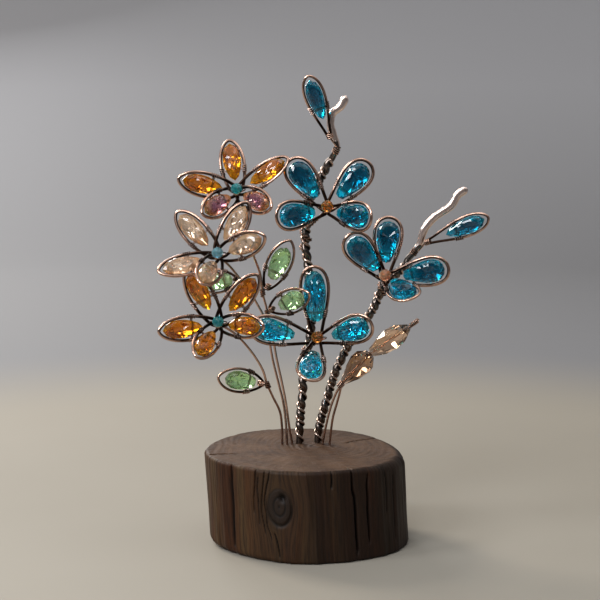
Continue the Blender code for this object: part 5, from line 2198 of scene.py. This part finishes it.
UPPER_AMBER = StemFlower(
    "upper_amber",
    (
        Petal(350, -30, 30), Petal(56, 9, 31.5, -40), Petal(108, 50, 29), Petal(241, 50, 29),
        Petal(284, 10, 30.5),
    ),
    SLIM_LOOP, SLIM_DROP, Glass.AMBER,
    knot=(-34.8, 10.4, 128.4), bead_glass=Glass.TURQUOISE, tints={3: Glass.AMETHYST, 4: Glass.AMETHYST},
    foot=(-10.1, 12),
    route=(
        (-10.6, 12.5, 11), (-11.9, 13, 21.5), (-14.4, 13.5, 32), (-17.2, 14, 43.5), (-18.8, 14, 53.5),
        (-20, 14, 68), (-22.1, 13.5, 77), (-23.5, 13, 87.5), (-27, 12, 97.5), (-30.9, 11, 110.5),
        (-33.8, 10.5, 121.5),
    ),
)
CHAMPAGNE = StemFlower(
    "champagne",
    (
        Petal(316, -14, 30.5), Petal(29, -13, 30.5), Petal(64, 30, 30), Petal(214, 66, 30),
        Petal(258, 23, 31.5, 40),
    ),
    SLIM_LOOP, SLIM_DROP, Glass.CHAMPAGNE,
    knot=(-43.2, -16.6, 99.4), bead_glass=Glass.AQUA,
    foot=(-7.6, 12),
    route=(
        (-9.1, 11.5, 11), (-10.6, 11, 22), (-12.6, 11, 32.5), (-15.1, 11, 44), (-17.1, 11, 54),
        (-21.5, 10, 66), (-26.4, 8, 75.5), (-29.9, 6, 81.5), (-33.7, 1.5, 87), (-37.4, -4, 92.5),
        (-40.6, -10, 96.5),
    ),
)
LOWER_AMBER = StemFlower(
    "lower_amber",
    (Petal(331, 5, 32), Petal(38, 2, 32), Petal(85, 40, 30), Petal(219, 59, 30), Petal(267, 23, 31.5)),
    SLIM_LOOP, SLIM_DROP, Glass.AMBER,
    knot=(-43.5, -7.6, 64.6), bead_glass=Glass.TURQUOISE,
    foot=(-12.5, 12),
    route=(
        (-12.6, 12, 9), (-13.6, 11, 17.5), (-17.1, 9, 25.5), (-20, 7, 32.5), (-22, 5.5, 39.5), (-25.4, 4, 46),
        (-29.8, 1.5, 52.5), (-34.7, -2, 58.5), (-39.5, -5, 62.5),
    ),
)
TOP_BLUE = TrunkFlower(
    "top_blue",
    (Petal(323, -9.5, 31.5), Petal(42, -9, 32), Petal(97, 46, 31), Petal(265, 35, 31)),
    PEAR_LOOP, PEAR_DROP, Glass.TEAL,
    knot=(9.9, 5.9, 120), bead_glass=Glass.BROWN, meets=110,
)
RIGHT_BLUE = TrunkFlower(
    "right_blue",
    (Petal(320, 10, 29.5), Petal(5, -15, 31.5), Petal(79, 13, 33), Petal(117, 63, 31, -45)),
    PEAR_LOOP, PEAR_DROP, Glass.TEAL,
    knot=(38.4, 2.4, 86.3), bead_glass=Glass.PEACH, meets=84,
)
CENTER_BLUE = TrunkFlower(
    "center_blue",
    (
        Petal(357, -1, 37.5, own_drop=LONG_DROP), Petal(69, 27, 32.5), Petal(197, 61, 33),
        Petal(285, 17, 36),
    ),
    PEAR_LOOP, CHECKER_DROP, Glass.CYAN,
    knot=(5.1, 4.4, 55.1), bead_glass=Glass.BROWN, meets=54,
)


def green_leaf(name: str, petal: Petal, **changes: float) -> Leaf:
    """Leaf with a green drop, and any values that differ from other leaves'."""
    return Leaf(name, (petal,), LEAF_LOOP, LEAF_DROP, Glass.PERIDOT, **changes)


def tip_leaf(name: str, petal: Petal, knot: Point) -> Leaf:
    """Leaf with a slim blue drop, on the slimmed top of a trunk."""
    return Leaf(name, (petal,), STALK_LOOP, TIP_DROP, Glass.TEAL, knot, carrier=2.2)


# Green leaves: the leaf, the flower whose stem carries it, and its height on that stem
STEM_LEAVES = (
    (green_leaf("upper_green_leaf", Petal(26, 5, 28)), UPPER_AMBER, 79.5),
    (green_leaf("middle_green_leaf", Petal(61, 41, 30)), UPPER_AMBER, 68.5),
    (green_leaf("back_green_leaf", Petal(260, -33, 25), twist=1.2), CHAMPAGNE, 86.0),
    (green_leaf("lower_green_leaf", Petal(285, 32, 27)), LOWER_AMBER, 33.5),
)

# Blue leaves at the tops of the trunks: the leaf and its trunk
TIP_LEAVES = (
    (tip_leaf("left_tip_leaf", Petal(340, 12, 33.5), (11.3, 4.5, 155.5)), LEFT_TRUNK),
    (tip_leaf("right_tip_leaf", Petal(66, 15, 34.5), (58.5, 3, 104)), RIGHT_TRUNK),
)


def main() -> None:
    """Build the pieces in order, then the studio."""
    logging.basicConfig(level=logging.INFO, format="%(name)s: %(message)s")
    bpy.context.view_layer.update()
    bench = Bench(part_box("wood_base")[1].z / MM)
    WoodRound().build(bench)
    for trunk in (LEFT_TRUNK, RIGHT_TRUNK):
        trunk.build(bench)
    for flower in (UPPER_AMBER, CHAMPAGNE, LOWER_AMBER):
        flower.build(bench)
    for flower, trunk in ((TOP_BLUE, LEFT_TRUNK), (RIGHT_BLUE, RIGHT_TRUNK), (CENTER_BLUE, LEFT_TRUNK)):
        flower.build(bench, trunk)
    for leaf, flower, height in STEM_LEAVES:
        distance = flower.rail.at_height(height)
        leaf.knot = tuple(leaf.beside(flower.rail, distance))
        leaf.build(bench, flower.rail, distance)
    for leaf, trunk in TIP_LEAVES:
        leaf.build(bench, trunk.rail, trunk.curl_start)
    BudSpray().build(bench)
    Studio().build(bench)


if __name__ == "__main__":
    main()
